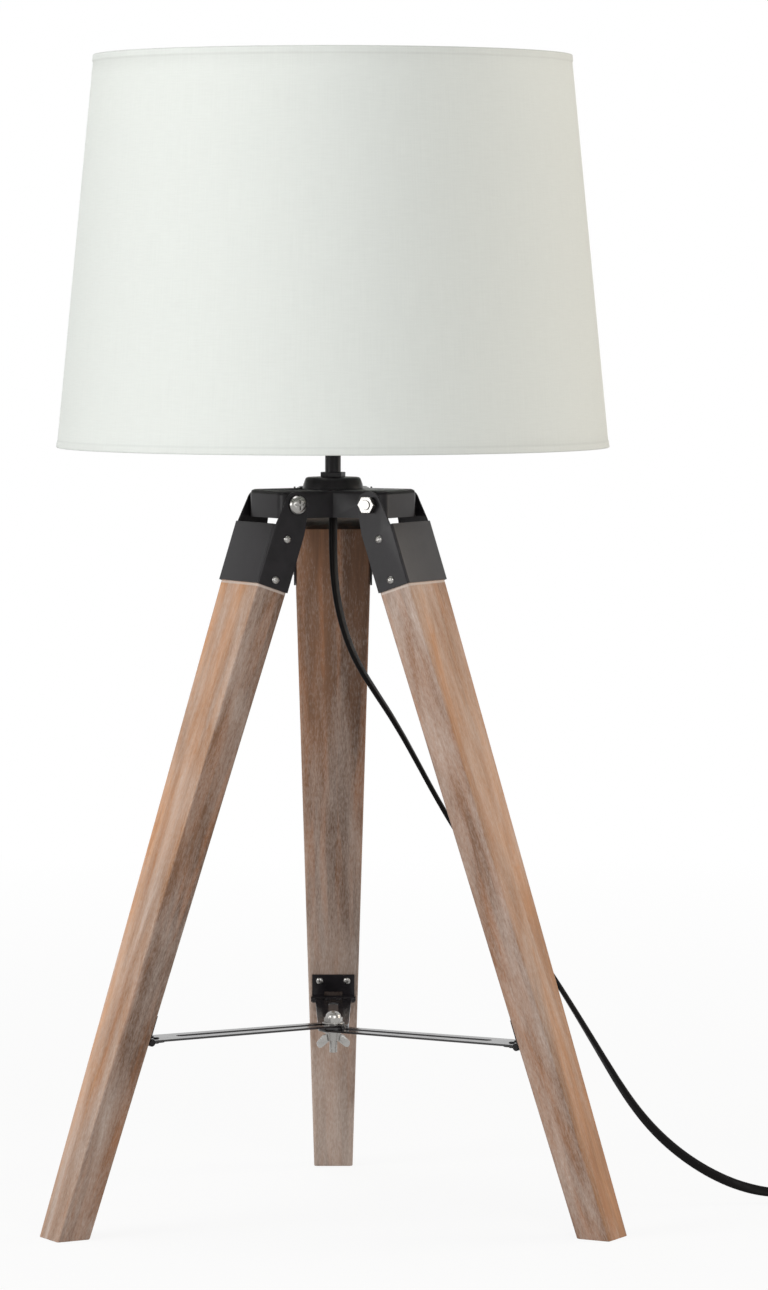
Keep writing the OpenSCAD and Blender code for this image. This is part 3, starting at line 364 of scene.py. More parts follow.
def whitewashed_timber(leg, outer, inner, low, level, arris_shade, patchy):
    """Pine, stained brown and wiped with a thin white wash, which sits in the pores and
    fades in streaks along the leg. The outward face is paler than the others."""
    colours = bpy.context.scene.lamp_colours
    material, tree, shader = blank(
        f"whitewashed_pine_{leg}", Roughness=0.62, Specular_IOR_Level=0.35)
    turn = math.radians(LEGS[leg][0])
    place_of = add(tree, "ShaderNodeTexCoord")
    height = add(tree, "ShaderNodeSeparateXYZ", {0: place_of.outputs["Object"]}).outputs["Z"]
    # the leg's own axes, so that every pattern runs along it
    own = add(tree, "ShaderNodeMapping", {"Vector": place_of.outputs["Object"]}, {
        "Location": (PIVOT_R * math.cos(turn), PIVOT_R * math.sin(turn), PIVOT_Z),
        "Rotation": (0, -LEG_TILT, turn)}, vector_type="TEXTURE")
    axes = add(tree, "ShaderNodeSeparateXYZ", {0: own.outputs[0]})
    made = grain_layers(tree, leg, own.outputs[0])
    # the outward face is paler: it was cut nearer to the sapwood, and part of its difference from
    # the other faces is painted light, lit and shaded faces told apart in colour
    facing = add(tree, "ShaderNodeVectorMath", {0: place_of.outputs["Normal"]},
                 {1: (math.cos(turn), math.sin(turn), 0.0)},
                 operation="DOT_PRODUCT").outputs["Value"]
    outward = add(tree, "ShaderNodeMapRange", {"Value": facing},
                  {"From Min": 0.35, "From Max": 0.75}).outputs[0]
    colour = stained_pine(tree, made, outward, axes.outputs["Y"], level, arris_shade)
    wash = wiped_wash(tree, made, outward, height, outer, inner, low, patchy)
    line = cap_line(tree, axes.outputs["Z"], facing)
    # painted shade of the hinge and arm on the wood behind them, in the coat's colour; it also
    # reads as coat rubbed off onto the wood
    behind_hinge_shade = painted_hinge_shade(tree, axes.outputs["Y"], height, facing, made["pore"])
    for share, over in ((wash, colours.wash), (line, colours.wash), (behind_hinge_shade, colours.coating)):
        colour = add(tree, "ShaderNodeMix", {0: share.outputs[0], 6: colour.outputs[2]},
                     {7: over}, data_type="RGBA")
    # the end grain under the cap is painted darker: stain soaked into it, and painted shade under
    # the hub and cap
    end = add(tree, "ShaderNodeVectorMath", {0: place_of.outputs["Normal"]},
              {1: leg_matrix(leg).to_3x3() @ Vector((0, 0, 1))}, operation="DOT_PRODUCT")
    end_grain_stain_and_shade = add(tree, "ShaderNodeMapRange", {"Value": end.outputs["Value"]},
                 {"From Min": 0.7, "From Max": 0.9, "To Min": 1.0, "To Max": 0.3})
    colour = add(tree, "ShaderNodeVectorMath",
                 {0: colour.outputs[2], "Scale": end_grain_stain_and_shade.outputs[0]}, operation="SCALE")
    tree.links.new(colour.outputs[0], shader.inputs["Base Color"])
    # open grain, a few hundredths of a millimetre deep
    open_grain = add(tree, "ShaderNodeMath", {0: made["pore"], 2: made["grain"]}, {1: 0.5},
                     operation="MULTIPLY_ADD")
    bump = add(tree, "ShaderNodeBump", {"Height": open_grain.outputs[0]},
               {"Strength": 0.4, "Distance": 0.0002})
    tree.links.new(bump.outputs[0], shader.inputs["Normal"])
    return material


def coated_steel(name, mirror, rough):
    """Mild steel with a black coat: dark face on, it mirrors the light at a glance, and a
    fine orange peel breaks the mirror up."""
    coating = bpy.context.scene.lamp_colours.coating
    material, tree, shader = blank(name, Roughness=rough, Specular_IOR_Level=mirror)
    place_of = add(tree, "ShaderNodeTexCoord")
    # orange peel is about 0.7 mm from crest to crest
    peel = add(tree, "ShaderNodeTexNoise", {"Vector": place_of.outputs["Object"]},
               {"Scale": 1400.0, "Detail": 2.0})
    bump = add(tree, "ShaderNodeBump", {"Height": peel.outputs["Fac"]},
               {"Strength": 0.35, "Distance": 0.00006})
    tree.links.new(bump.outputs[0], shader.inputs["Normal"])
    # handling and dust leave the coat uneven over a centimetre or two
    handled = add(tree, "ShaderNodeTexNoise", {"Vector": place_of.outputs["Object"]},
                  {"Scale": 90.0, "Detail": 5.0, "Roughness": 0.6})
    gloss = add(tree, "ShaderNodeMapRange", {"Value": handled.outputs["Fac"]},
                {"From Min": 0.3, "From Max": 0.7, "To Min": rough - 0.04,
                 "To Max": rough + 0.05})
    tree.links.new(gloss.outputs[0], shader.inputs["Roughness"])
    dust = add(tree, "ShaderNodeMapRange", {"Value": handled.outputs["Fac"]},
               {"From Min": 0.35, "From Max": 0.65, "To Min": 0.8, "To Max": 1.3})
    shade_of = add(tree, "ShaderNodeVectorMath", {"Scale": dust.outputs[0]},
                   {0: coating[:3]}, operation="SCALE")
    tree.links.new(shade_of.outputs[0], shader.inputs["Base Color"])
    return material


def plain_finish(name, scale, detail, gloss=None, tones=None, bump=None, **values):
    """A finish with one noise, scaled in lumps to a metre, which takes its roughness from
    one value to another, takes its colour from one tone to another, or bumps it."""
    material, tree, shader = blank(name, **values)
    place_of = add(tree, "ShaderNodeTexCoord")
    lumps = add(tree, "ShaderNodeTexNoise", {"Vector": place_of.outputs["Object"]},
                {"Scale": scale, "Detail": detail})
    if gloss:
        level = add(tree, "ShaderNodeMapRange", {"Value": lumps.outputs["Fac"]},
                    {"From Min": 0.3, "From Max": 0.7, "To Min": gloss[0], "To Max": gloss[1]})
        tree.links.new(level.outputs[0], shader.inputs["Roughness"])
    if tones:
        tone = add(tree, "ShaderNodeMix", {0: lumps.outputs["Fac"]},
                   {6: linear(tones[0]), 7: linear(tones[1])}, data_type="RGBA")
        tree.links.new(tone.outputs[2], shader.inputs["Base Color"])
    if bump:
        height = add(tree, "ShaderNodeBump", {"Height": lumps.outputs["Fac"]},
                     {"Strength": bump[0], "Distance": bump[1]})
        tree.links.new(height.outputs[0], shader.inputs["Normal"])
    return material


def zinc_plate():
    """Bright zinc on steel fasteners: a mirror, slightly cloudy over 2 mm."""
    return plain_finish("bright_zinc", 500, 3, gloss=(0.22, 0.36),
                        Base_Color=linear("#999794"), Metallic=1.0)


def moulded_black():
    """Black thermoset, as moulded: an even spark-eroded texture with a low sheen."""
    material, tree, shader = blank(
        "moulded_black", Base_Color=linear("#171617"), Roughness=0.42, Specular_IOR_Level=0.3)
    place_of = add(tree, "ShaderNodeTexCoord")
    # spark erosion leaves pits about 0.25 mm wide, drawn twice as wide so that they show
    pits = add(tree, "ShaderNodeTexVoronoi", {"Vector": place_of.outputs["Object"]},
               {"Scale": 2000.0})
    bump = add(tree, "ShaderNodeBump", {"Height": pits.outputs["Distance"]},
               {"Strength": 0.25, "Distance": 0.00004})
    tree.links.new(bump.outputs[0], shader.inputs["Normal"])
    return material


def extruded_pvc():
    """Soft black PVC on the flat cord: smooth, with faint marks from the die, 4 mm apart."""
    return plain_finish("extruded_pvc", 260, 3, gloss=(0.38, 0.55), bump=(0.15, 0.0001),
                        Base_Color=linear("#0F0D0D"), Specular_IOR_Level=0.08)


def cotton_on_backing():
    """Off-white cotton laminated on a stiff backing: plain weave with thicker slub threads,
    that lets a little light through."""
    spacing = bpy.context.scene.lamp_sizes.thread_spacing
    material, tree, shader = blank(
        "laminated_cotton", Base_Color=bpy.context.scene.lamp_colours.fabric, Roughness=0.85,
        Specular_IOR_Level=0.2, Sheen_Weight=0.08)
    flat = add(tree, "ShaderNodeTexCoord")
    # threads are 0.45 mm apart on such cotton, drawn twice as coarse so that they show
    weave = {}
    for name, stretch in (("warp", (1 / spacing, 1 / 0.030, 1)),
                          ("weft", (1 / 0.012, 1 / spacing, 1))):
        scaled = add(tree, "ShaderNodeVectorMath", {0: flat.outputs["UV"]}, {1: stretch},
                     operation="MULTIPLY")
        weave[name] = add(tree, "ShaderNodeTexNoise", {"Vector": scaled.outputs[0]},
                          {"Scale": 1.0, "Detail": 3.0, "Roughness": 0.6}, noise_dimensions="2D")
    both = add(tree, "ShaderNodeMath", {0: weave["warp"].outputs["Fac"],
                                        1: weave["weft"].outputs["Fac"]}, operation="ADD")
    tint = add(tree, "ShaderNodeMapRange", {"Value": both.outputs[0]},
               {"From Min": 0.6, "From Max": 1.4, "To Min": 0.975, "To Max": 1.02})
    # painted shade: the folded rims and the line where each hem ends are darkened, as the fold and
    # the hem's step shade them
    low, high = (corner.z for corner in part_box("shade_cover"))
    up = add(tree, "ShaderNodeSeparateXYZ", {0: flat.outputs["UV"]})
    from_middle = add(tree, "ShaderNodeMath", {0: up.outputs["Y"]}, {1: (low + high) / 2},
                      operation="SUBTRACT")
    from_middle = add(tree, "ShaderNodeMath", {0: from_middle.outputs[0]}, operation="ABSOLUTE")
    for inset, darkest in ((0.0, 0.84), (SHADE_HEM + 0.0003, 0.95)):
        off = add(tree, "ShaderNodeMath", {0: from_middle.outputs[0]},
                  {1: (high - low) / 2 - inset}, operation="SUBTRACT")
        off = add(tree, "ShaderNodeMath", {0: off.outputs[0]}, operation="ABSOLUTE")
        rim_and_hem_shade = add(tree, "ShaderNodeMapRange", {"Value": off.outputs[0]},
                   {"From Min": 0.0003, "From Max": 0.0009, "To Min": darkest, "To Max": 1.0})
        tint = add(tree, "ShaderNodeMath", {0: tint.outputs[0], 1: rim_and_hem_shade.outputs[0]},
                   operation="MULTIPLY")
    cloth = add(tree, "ShaderNodeVectorMath", {"Scale": tint.outputs[0]},
                {0: bpy.context.scene.lamp_colours.fabric[:3]}, operation="SCALE")
    tree.links.new(cloth.outputs[0], shader.inputs["Base Color"])
    bump = add(tree, "ShaderNodeBump", {"Height": both.outputs[0]},
               {"Strength": 0.35, "Distance": 0.00015})
    tree.links.new(bump.outputs[0], shader.inputs["Normal"])
    # light that comes through the cloth
    through = add(tree, "ShaderNodeBsdfTranslucent", {"Color": cloth.outputs[0]})
    mixed = add(tree, "ShaderNodeMixShader", {1: shader.outputs[0], 2: through.outputs[0]},
                {0: 0.22})
    tree.links.new(mixed.outputs[0], tree.nodes["Material Output"].inputs["Surface"])
    return material


def lacquered_wire():
    """White lacquer dipped on steel wire: a soft gloss with runs 3 mm long."""
    return plain_finish("white_lacquer", 300, 2, bump=(0.2, 0.0001),
                        Base_Color=linear("#E6E6E2"), Roughness=0.35)


def rolled_brass():
    """Thin brass, rolled and left bare: warm, with a slight tarnish in 6 mm patches."""
    return plain_finish("rolled_brass", 160, 4, tones=("#B48E48", "#D6B46C"),
                        Metallic=1.0, Roughness=0.3)


def pale_thermoset():
    """The pale insulator inside the lampholder: pressed powder, matt, mottled over 1 mm."""
    return plain_finish("pale_thermoset", 900, 2, tones=("#D8D3C5", "#EAE7DD"), Roughness=0.6)


FINISHES = {}


def finish(name, maker):
    """One material for all the pieces that share a finish."""
    if name not in FINISHES:
        FINISHES[name] = maker()
    return FINISHES[name]


# ---- the cord

def sections(points, reference, first=None, last=None):
    """The cord's frames along a route: place, broad direction and thin direction."""
    made = []
    final = len(points) - 1
    for i, (*at, turn) in enumerate(points):
        ahead = Vector(points[min(i + 1, final)][:3]) - Vector(points[max(i - 1, 0)][:3])
        if first is not None and i == 0:
            ahead = Vector(first)
        if last is not None and i == final:
            ahead = Vector(last)
        ahead.normalize()
        side = Vector(reference)
        side = (side - side.dot(ahead) * ahead).normalized()
        other = ahead.cross(side)
        angle = math.radians(turn)
        broad = other * math.cos(angle) + side * math.sin(angle)
        made.append((Vector(at), broad, ahead.cross(broad)))
    return made


def smoothed(points, steps=4):
    """A route with more points, on a smooth curve through the given ones."""
    made = []
    final = len(points) - 1
    for i in range(final):
        before, start, end, after = (
            Vector(points[min(max(j, 0), final)]) for j in (i - 1, i, i + 1, i + 2))
        for k in range(steps):
            t = k / steps
            made.append(tuple(0.5 * (
                2 * start + (end - before) * t
                + (2 * before - 5 * start + 4 * end - after) * t * t
                + (3 * start - before - 3 * end + after) * t * t * t)))
    made.append(tuple(points[-1]))
    return made


def eased(points):
    """A route with its millimetre steps evened out; its two ends stay as they are."""
    for _ in range(2):
        points = [points[0]] + [
            tuple(0.25 * a + 0.5 * b + 0.25 * c for a, b, c in zip(*three))
            for three in zip(points, points[1:], points[2:])] + [points[-1]]
    return points


def oval(width, thickness, sides):
    """A flat cord's section: two half rounds joined by flat faces."""
    flat = (width - thickness) / 2
    ring = []
    for i in range(sides):
        angle = 2 * math.pi * (i + 0.5) / sides
        ring.append((math.copysign(flat, math.cos(angle)) + thickness / 2 * math.cos(angle),
                     thickness / 2 * math.sin(angle)))
    return ring


def swept(frames, outline):
    """A bmesh tube that follows the frames; outline gives the section at each one."""
    bm = bmesh.new()
    before = None
    for i, (at, broad, thin) in enumerate(frames):
        ring = [bm.verts.new(at + broad * u + thin * v) for u, v in outline(i)]
        if before is None:
            bm.faces.new(list(reversed(ring)))
        else:
            for j in range(len(ring)):
                k = (j + 1) % len(ring)
                bm.faces.new((before[j], before[k], ring[k], ring[j]))
        before = ring
    bm.faces.new(before)
    bmesh.ops.recalc_face_normals(bm, faces=bm.faces)
    return bm


def coil_point(turns):
    """A point of the coil, which spirals in on the lower layer and out on the upper one."""
    half = COIL_TURNS / 2
    radius = COIL_R - COIL_PITCH * (half - abs(turns - half))
    # it climbs from layer to layer over half a turn
    climb = min(max((turns - half + 0.25) / 0.5, 0), 1)
    angle = math.radians(360 * turns - 90)
    return (COIL_AT[0] + radius * math.cos(angle), COIL_AT[1] + radius * math.sin(angle),
            COIL_LOW + COIL_LAYER * (1 - math.cos(math.pi * climb)) / 2, 90)


def stretch(frames, length):
    """The frames over that length from the first one, at a given share of it."""
    gone = [0.0]
    for before, here in zip(frames, frames[1:]):
        gone.append(gone[-1] + (here[0] - before[0]).length)

    def at(share):
        wanted = share * length
        i = max(k for k, value in enumerate(gone[:-1]) if value <= wanted)
        part = min((wanted - gone[i]) / (gone[i + 1] - gone[i]), 1.0)
        return tuple(a.lerp(b, part) for a, b in zip(frames[i], frames[i + 1]))
    return at


def sleeve(frames, name, sizes):
    """A tapered strain relief with ribs, from the housing that the frames start at."""
    at = stretch(frames, sizes.relief_length)
    # what it adds to the cord at its root beyond its tip, at its tip, and a groove's depth
    flare, tip, deep = 0.0034, 0.0010, 0.0009
    ribs = 6
    stations = []
    for rib in range(ribs):
        stations += [((rib + 0.02) / ribs, 0), ((rib + 0.60) / ribs, 0),
                     ((rib + 0.68) / ribs, 1), ((rib + 0.94) / ribs, 1)]
    stations += [((ribs - 0.04) / ribs, 0), (1.0, 0)]

    def outline(i):
        share, groove = stations[i]
        grow = flare * (1 - share) + tip - deep * groove * (1 - 0.5 * share)
        return oval(CORD_W + grow, CORD_T + 1.15 * grow, sizes.cord_sides)
    return place(swept([at(share) for share, _ in stations], outline), name, "head",
                 finish("black", moulded_black), "black_plastic", smooth=32)


class LAMP_OT_cord(bpy.types.Operator):
    """Lays the flat cord from the hub through the switch and the coil to the plug"""

    bl_idname = "lamp.cord"
    bl_label = "Cord"

    def execute(self, context):
        sizes = context.scene.lamp_sizes
        sides = sizes.cord_sides
        pvc = finish("pvc", extruded_pvc)

        def section(_):
            return oval(CORD_W, CORD_T, sides)
        drop = sections(smoothed(eased(CORD_DROP)), (0, 1, 0), first=(0, 0, -1), last=(1, 0, 0))
        upper = place(swept(drop, section), "cord_to_switch", "head", pvc, "cord_sheath",
                      "cord_drop", smooth=60)
        turns = [coil_point(i / COIL_STEPS) for i in range(int(COIL_TURNS * COIL_STEPS) + 1)]
        coiled = sections(smoothed(CORD_LEAD) + turns + smoothed(CORD_TAIL), (0, 0, 1),
                          first=(1, 0, 0), last=(-1, 0, 0))
        lower = place(swept(coiled, section), "cord_to_plug", "head", pvc, "cord_sheath",
                      "cord_lead", "cord_coil", "cord_tail", smooth=60)
        # sleeves that guard the cord where it enters the switch and the plug
        inlet = sleeve(drop[::-1], "switch_inlet_sleeve", sizes)
        outlet = sleeve(coiled, "switch_outlet_sleeve", sizes)
        rear = sleeve(coiled[::-1], "plug_sleeve", sizes)
        tie = self.tie(sizes)
        black = finish("black", moulded_black)
        plug = rounded("plug_body", "plug_body_moulded", black, "black_plastic", 0.002,
                       angle=25, segments=3)
        rocker = rounded("switch_rocker", "switch_rocker_moulded", black, "black_plastic",
                         0.0005)
        return {"FINISHED"}

    def tie(self, sizes):
        """A hook-and-loop tie around the coil, on the side away from the lamp."""
        # its inside, from the coil's middle and from the floor
        inner, outer, low, high = 0.0268, 0.0424, 0.00004, 0.0150
        corner, thick = 0.0022, 0.00022
        bm = bmesh.new()
        outline = []
        left, right, down, up = inner + corner, outer - corner, low + corner, high - corner
        for quarter, (cx, cz) in enumerate(((right, up), (left, up), (left, down), (right, down))):
            for step in range(7):
                angle = math.radians(90 * quarter + 15 * step)
                outline.append((cx + corner * math.cos(angle), cz + corner * math.sin(angle)))
        half = sizes.tie_width / 2
        loops = []
        for y in (-half, half):
            loops.append([bm.verts.new((COIL_AT[0] + x, COIL_AT[1] + y, z)) for x, z in outline])
        edges = [[bm.edges.new((ring[i], ring[(i + 1) % len(ring)])) for i in range(len(ring))]
                 for ring in loops]
        bmesh.ops.bridge_loops(bm, edges=edges[0] + edges[1])
        bmesh.ops.recalc_face_normals(bm, faces=bm.faces)
        bmesh.ops.solidify(bm, geom=bm.faces[:], thickness=thick)
        return place(bm, "coil_tie", "head", finish("black", moulded_black), "black_plastic",
                     smooth=60)


# ---- the stage

class LAMP_OT_stage(bpy.types.Operator):
    """Sets the camera, the soft lights, the pale floor and the white surround"""

    bl_idname = "lamp.stage"
    bl_label = "Stage"

    def execute(self, context):
        scene = context.scene
        scene.view_settings.view_transform = "Standard"
        data = bpy.data.cameras.new("camera")
        data.sensor_width = 36
        data.lens = LENS
        data.clip_end = 30
        camera = bpy.data.objects.new("camera", data)
        camera.location = CAMERA_AT
        camera.rotation_euler = [math.radians(turn) for turn in CAMERA_TURN]
        scene.collection.objects.link(camera)
        scene.camera = camera
        # name: place, aim, size, power, colour
        lights = {
            "window": ((-2.9, -1.7, 1.25), (0, 0, 0.4), 2.0, 74, "#FFFFFF"),
            "front_fill": ((1.2, -3.3, 1.3), (0, 0, 0.4), 1.8, 40, "#FFFFFF"),
            "side_fill": ((3.1, 0.55, 1.2), (0, 0, 0.4), 1.8, 43, "#FFF2E2"),
            "overhead": ((-0.4, 0.2, 2.6), (0, 0, 0.3), 1.6, 18, "#FFFFFF"),
        }
        for name, (at, aim, size, power, tint) in lights.items():
            lamp = bpy.data.lights.new(name, "AREA")
            lamp.shape = "DISK"
            lamp.size = size
            lamp.energy = power
            lamp.color = linear(tint)[:3]
            shown = bpy.data.objects.new(name, lamp)
            shown.location = at
            shown.rotation_euler = (Vector(aim) - Vector(at)).to_track_quat("-Z", "Y").to_euler()
            scene.collection.objects.link(shown)
        self.surround(scene)
        self.floor(scene)
        return {"FINISHED"}

    def surround(self, scene):
        """White to the eye and to what mirrors or passes it, a plain grey level as light."""
        world = bpy.data.worlds.new("surround")
        scene.world = world
        world.use_nodes = True
        tree = world.node_tree
        tree.nodes.clear()
        level = add(tree, "ShaderNodeMapRange", {"Value": seen_rays(tree).outputs[0]},
                    {"To Min": 0.2, "To Max": 1.0})
        light = add(tree, "ShaderNodeBackground", {"Strength": level.outputs[0]},
                    {"Color": linear("#FFFFFF")})
        out = add(tree, "ShaderNodeOutputWorld")
        tree.links.new(light.outputs[0], out.inputs["Surface"])

    def floor(self, scene):
        """A white table top that keeps a faint shadow of the lamp."""
        bm = bmesh.new()
        bmesh.ops.create_circle(bm, cap_ends=True, radius=12, segments=96)
        mesh = bpy.data.meshes.new("floor")
        bm.to_mesh(mesh)
        bm.free()
        floor = bpy.data.objects.new("floor", mesh)
        floor.location = (0, 0, -0.0002)
        scene.collection.objects.link(floor)
        material, tree, shader = blank("white_table", Base_Color=linear("#E8E8E8"), Roughness=0.9,
                                       Specular_IOR_Level=0.0)
        mesh.materials.append(material)
        # near the lamp a tenth of the floor's white is left to the light, and so to the shadow
        place_of = add(tree, "ShaderNodeTexCoord")
        away = add(tree, "ShaderNodeVectorMath", {0: place_of.outputs["Object"]},
                   operation="LENGTH")
        fade = add(tree, "ShaderNodeMapRange", {"Value": away.outputs["Value"]},
                   {"From Min": 0.5, "From Max": 2.2, "To Min": 0.9, "To Max": 1.0})
        share = add(tree, "ShaderNodeMath",
                    {0: seen_rays(tree).outputs[0], 1: fade.outputs[0]}, operation="MULTIPLY")
        white = add(tree, "ShaderNodeEmission", (), {"Color": linear("#FFFFFF"), "Strength": 1.0})
        mixed = add(tree, "ShaderNodeMixShader", {0: share.outputs[0], 1: shader.outputs[0],
                                                  2: white.outputs[0]})
        tree.links.new(mixed.outputs[0], tree.nodes["Material Output"].inputs["Surface"])


# ---- the shade

class LAMP_OT_shade(bpy.types.Operator):
    """Makes the fabric drum with its rolled hems and its seam, and paints its wires"""

    bl_idname = "lamp.shade"
    bl_label = "Shade"

    def execute(self, context):
        low, high = (corner.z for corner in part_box("shade_cover"))
        base, top, height = SHADE_LOW_R, SHADE_TOP_R, high - low

        def radius(z):
            return base - (base - top) * z / height
        bm = bmesh.new()
        verts = [bm.verts.new((r, 0, z + low)) for r, z in self.section(radius, height)]
        edges = [bm.edges.new(pair) for pair in zip(verts, verts[1:])]
        edges.append(bm.edges.new((verts[-1], verts[0])))
        bmesh.ops.spin(bm, geom=verts + edges, cent=(0, 0, 0), axis=(0, 0, 1),
                       angle=2 * math.pi, steps=192, use_merge=True)
        bmesh.ops.remove_doubles(bm, verts=bm.verts, dist=0.00001)
        bmesh.ops.recalc_face_normals(bm, faces=bm.faces)
        self.cloth_axes(bm)
        cotton = finish("cotton", cotton_on_backing)
        fabric = place(bm, "shade_fabric", "shade", cotton, "shade_fabric", "shade_cover",
                       smooth=50)
        overlap = self.seam(low, height, radius, cotton)
        white = finish("wire", lacquered_wire)
        paint(white, "shade_wire_top", "shade_wire_bottom", "shade_fitter")
        return {"FINISHED"}

    def section(self, radius, height):
        """The drum's section, from the inner foot round the outside to the inner top."""
        wall, hem, proud, fold = SHADE_WALL, SHADE_HEM, HEM_PROUD, HEM_FOLD
        # the cloth steps down from each hem over this height
        step_down = 0.0004
        outline = [(radius(0) - wall, 0.0), (radius(0) - wall / 2, -0.00002)]
        for step in range(1, 6):
            angle = math.radians(90 * step / 5)
            outline.append((radius(0) + proud - fold + fold * math.sin(angle),
                            fold - fold * math.cos(angle)))
        outline += [(radius(hem) + proud, hem * 0.8), (radius(hem) + proud * 0.6, hem),
                    (radius(hem), hem + step_down)]
        rows = 24
        for step in range(1, rows):
            z = hem + step_down + (height - 2 * hem - 2 * step_down) * step / rows
            outline.append((radius(z), z))
        outline += [(radius(height - hem), height - hem - step_down),
                    (radius(height - hem) + proud * 0.6, height - hem),
                    (radius(height - hem * 0.8) + proud, height - hem * 0.8)]
        for step in range(0, 5):
            angle = math.radians(90 * step / 5)
            outline.append((radius(height) + proud - fold + fold * math.cos(angle),
                            height - fold + fold * math.sin(angle)))
        outline += [(radius(height) - wall / 2, height), (radius(height) - wall, height)]
        return outline

    def cloth_axes(self, bm):
        """The cloth's own axes as UVs: around and up, in metres."""
        uv = bm.loops.layers.uv.new("cloth")
        for face in bm.faces:
            middle = face.calc_center_median()
            around = math.atan2(middle.y, middle.x)
            for loop in face.loops:
                angle = math.atan2(loop.vert.co.y, loop.vert.co.x)
                angle += 2 * math.pi * round((around - angle) / (2 * math.pi))
                loop[uv].uv = (angle * CLOTH_R, loop.vert.co.z)

    def seam(self, low, height, radius, cotton):
        """The glued overlap at the back, one more layer of cloth."""
        width, thick, lift = 0.012, 0.00045, 0.00002
        # it ends just short of the hems
        margin = SHADE_HEM + 0.0003
        bm = bmesh.new()
        bmesh.ops.create_grid(bm, x_segments=6, y_segments=24, size=0.5)
        uv = bm.loops.layers.uv.new("cloth")
        for vert in bm.verts:
            z = margin + (height - 2 * margin) * (vert.co.y + 0.5)
            angle = math.radians(90) + vert.co.x * width / radius(z)
            out = radius(z) + lift
            vert.co = (out * math.cos(angle), out * math.sin(angle), low + z)
        for face in bm.faces:
            for loop in face.loops:
                co = loop.vert.co
                loop[uv].uv = (math.atan2(co.y, co.x) * CLOTH_R + 0.4, co.z)
        bmesh.ops.recalc_face_normals(bm, faces=bm.faces)
        if sum(face.normal.y for face in bm.faces) < 0:
            bmesh.ops.reverse_faces(bm, faces=bm.faces)
        bmesh.ops.solidify(bm, geom=bm.faces[:], thickness=-thick)
        bmesh.ops.recalc_face_normals(bm, faces=bm.faces)
        return place(bm, "shade_seam", "shade", cotton, "shade_fabric", smooth=50)


# ---- legs

class LAMP_OT_legs(bpy.types.Operator):
    """Shapes the tapered timber of each leg and finishes it with the wash"""

    bl_idname = "lamp.legs"
    bl_label = "Legs"

    def execute(self, context):
        # wash on the outward face, on the others, added at the floor; tone, painted shade from one
        # arris to the other, unevenness
        washes = {
            "a": (0.25, 0.00, 0.64, 0.66, -0.35, 1.0),
            "b": (0.24, 0.19, 0.06, 0.97, 0.32, 1.5),
            "c": (0.26, 0.38, -0.22, 0.88, -0.05, 1.5),
        }
        for leg, wash in washes.items():
            self.timber(leg, context.scene.lamp_sizes.timber_round,
                        whitewashed_timber(leg, *wash))
        return {"FINISHED"}

    def timber(self, leg, edge, material):
        """One leg: a bar, tapered below its cap, with sanded edges, cut off at the floor."""
        length = (PIVOT_Z + LEG_T) / math.cos(LEG_TILT)
        floor = PIVOT_Z / math.cos(LEG_TILT)
        bm = bmesh.new()
        bmesh.ops.create_cube(bm, size=1.0)
        for vert in bm.verts:
            up = vert.co.z > 0
            vert.co = (vert.co.x * LEG_T, vert.co.y * LEG_W, -WOOD_TOP if up else -length)
        bmesh.ops.bisect_plane(bm, geom=bm.verts[:] + bm.edges[:] + bm.faces[:],
                               plane_co=(0, 0, -CAP_END), plane_no=(0, 0, 1))
        for vert in bm.verts:
            past = (-vert.co.z - CAP_END) / (floor - CAP_END)
            if past > 0.0001:
                vert.co.y *= (LEG_W - (LEG_W - FOOT_W) * past) / LEG_W
        long_edges = [e for e in bm.edges
                      if abs(e.verts[0].co.z - e.verts[1].co.z) > 0.01]
        bmesh.ops.bevel(bm, geom=long_edges, offset=edge, offset_type="OFFSET", segments=4,
                        profile=0.5, affect="EDGES", material=-1)
        bmesh.ops.transform(bm, matrix=leg_matrix(leg), verts=bm.verts)
        cut = bmesh.ops.bisect_plane(
            bm, geom=bm.verts[:] + bm.edges[:] + bm.faces[:], plane_co=(0, 0, 0),
            plane_no=(0, 0, 1), clear_inner=True)
        rim = [e for e in cut["geom_cut"] if isinstance(e, bmesh.types.BMEdge)]
        bmesh.ops.holes_fill(bm, edges=rim, sides=0)
        # the ends lose a little of their arris too; sharp is the least turn of one, in radians
        sharp, end_round = 1.2, 0.0006
        ends = [e for e in bm.edges if e.is_manifold and e.calc_face_angle(0) > sharp]
        bmesh.ops.bevel(bm, geom=ends, offset=end_round, offset_type="OFFSET", segments=2,
                        profile=0.5, affect="EDGES", material=-1)
        bmesh.ops.recalc_face_normals(bm, faces=bm.faces)
        place(bm, f"leg_{leg}_timber", f"leg_{leg}", material, "leg_wood",
              f"leg_{leg}_wood", smooth=30)


# ---- steel, fasteners and plastics

class LAMP_OT_steelwork(bpy.types.Operator):
    """Rounds the edges of the coated steel and finishes it"""

    bl_idname = "lamp.steelwork"
    bl_label = "Steelwork"

    def execute(self, context):
        coat = finish("coat", lambda: coated_steel("powder_coated_steel", 0.17, 0.32))
        # the strips of the spreader have a smoother coat
        strip = finish("strip", lambda: coated_steel("stove_enamelled_strip", 0.6, 0.16))
        edge = context.scene.lamp_sizes.steel_round
        names = {name: coat for name in ("hub_shell", "hub_dome", "collar_nut", "lock_nut")}
        for leg in LEGS:
            names.update({f"leg_{leg}_cap": coat, f"leg_{leg}_leaf": coat,
                          f"arm_{leg}": strip, f"arm_{leg}_leaf": coat})
        for node, finish_of in names.items():
            rounded(node, f"{node}_coated", finish_of, "black_steel", edge)
        paint(coat, "stem_tube", *(f"hinge_pin_{leg}" for leg in LEGS),
              *(f"arm_{leg}_rivets" for leg in LEGS))
        return {"FINISHED"}


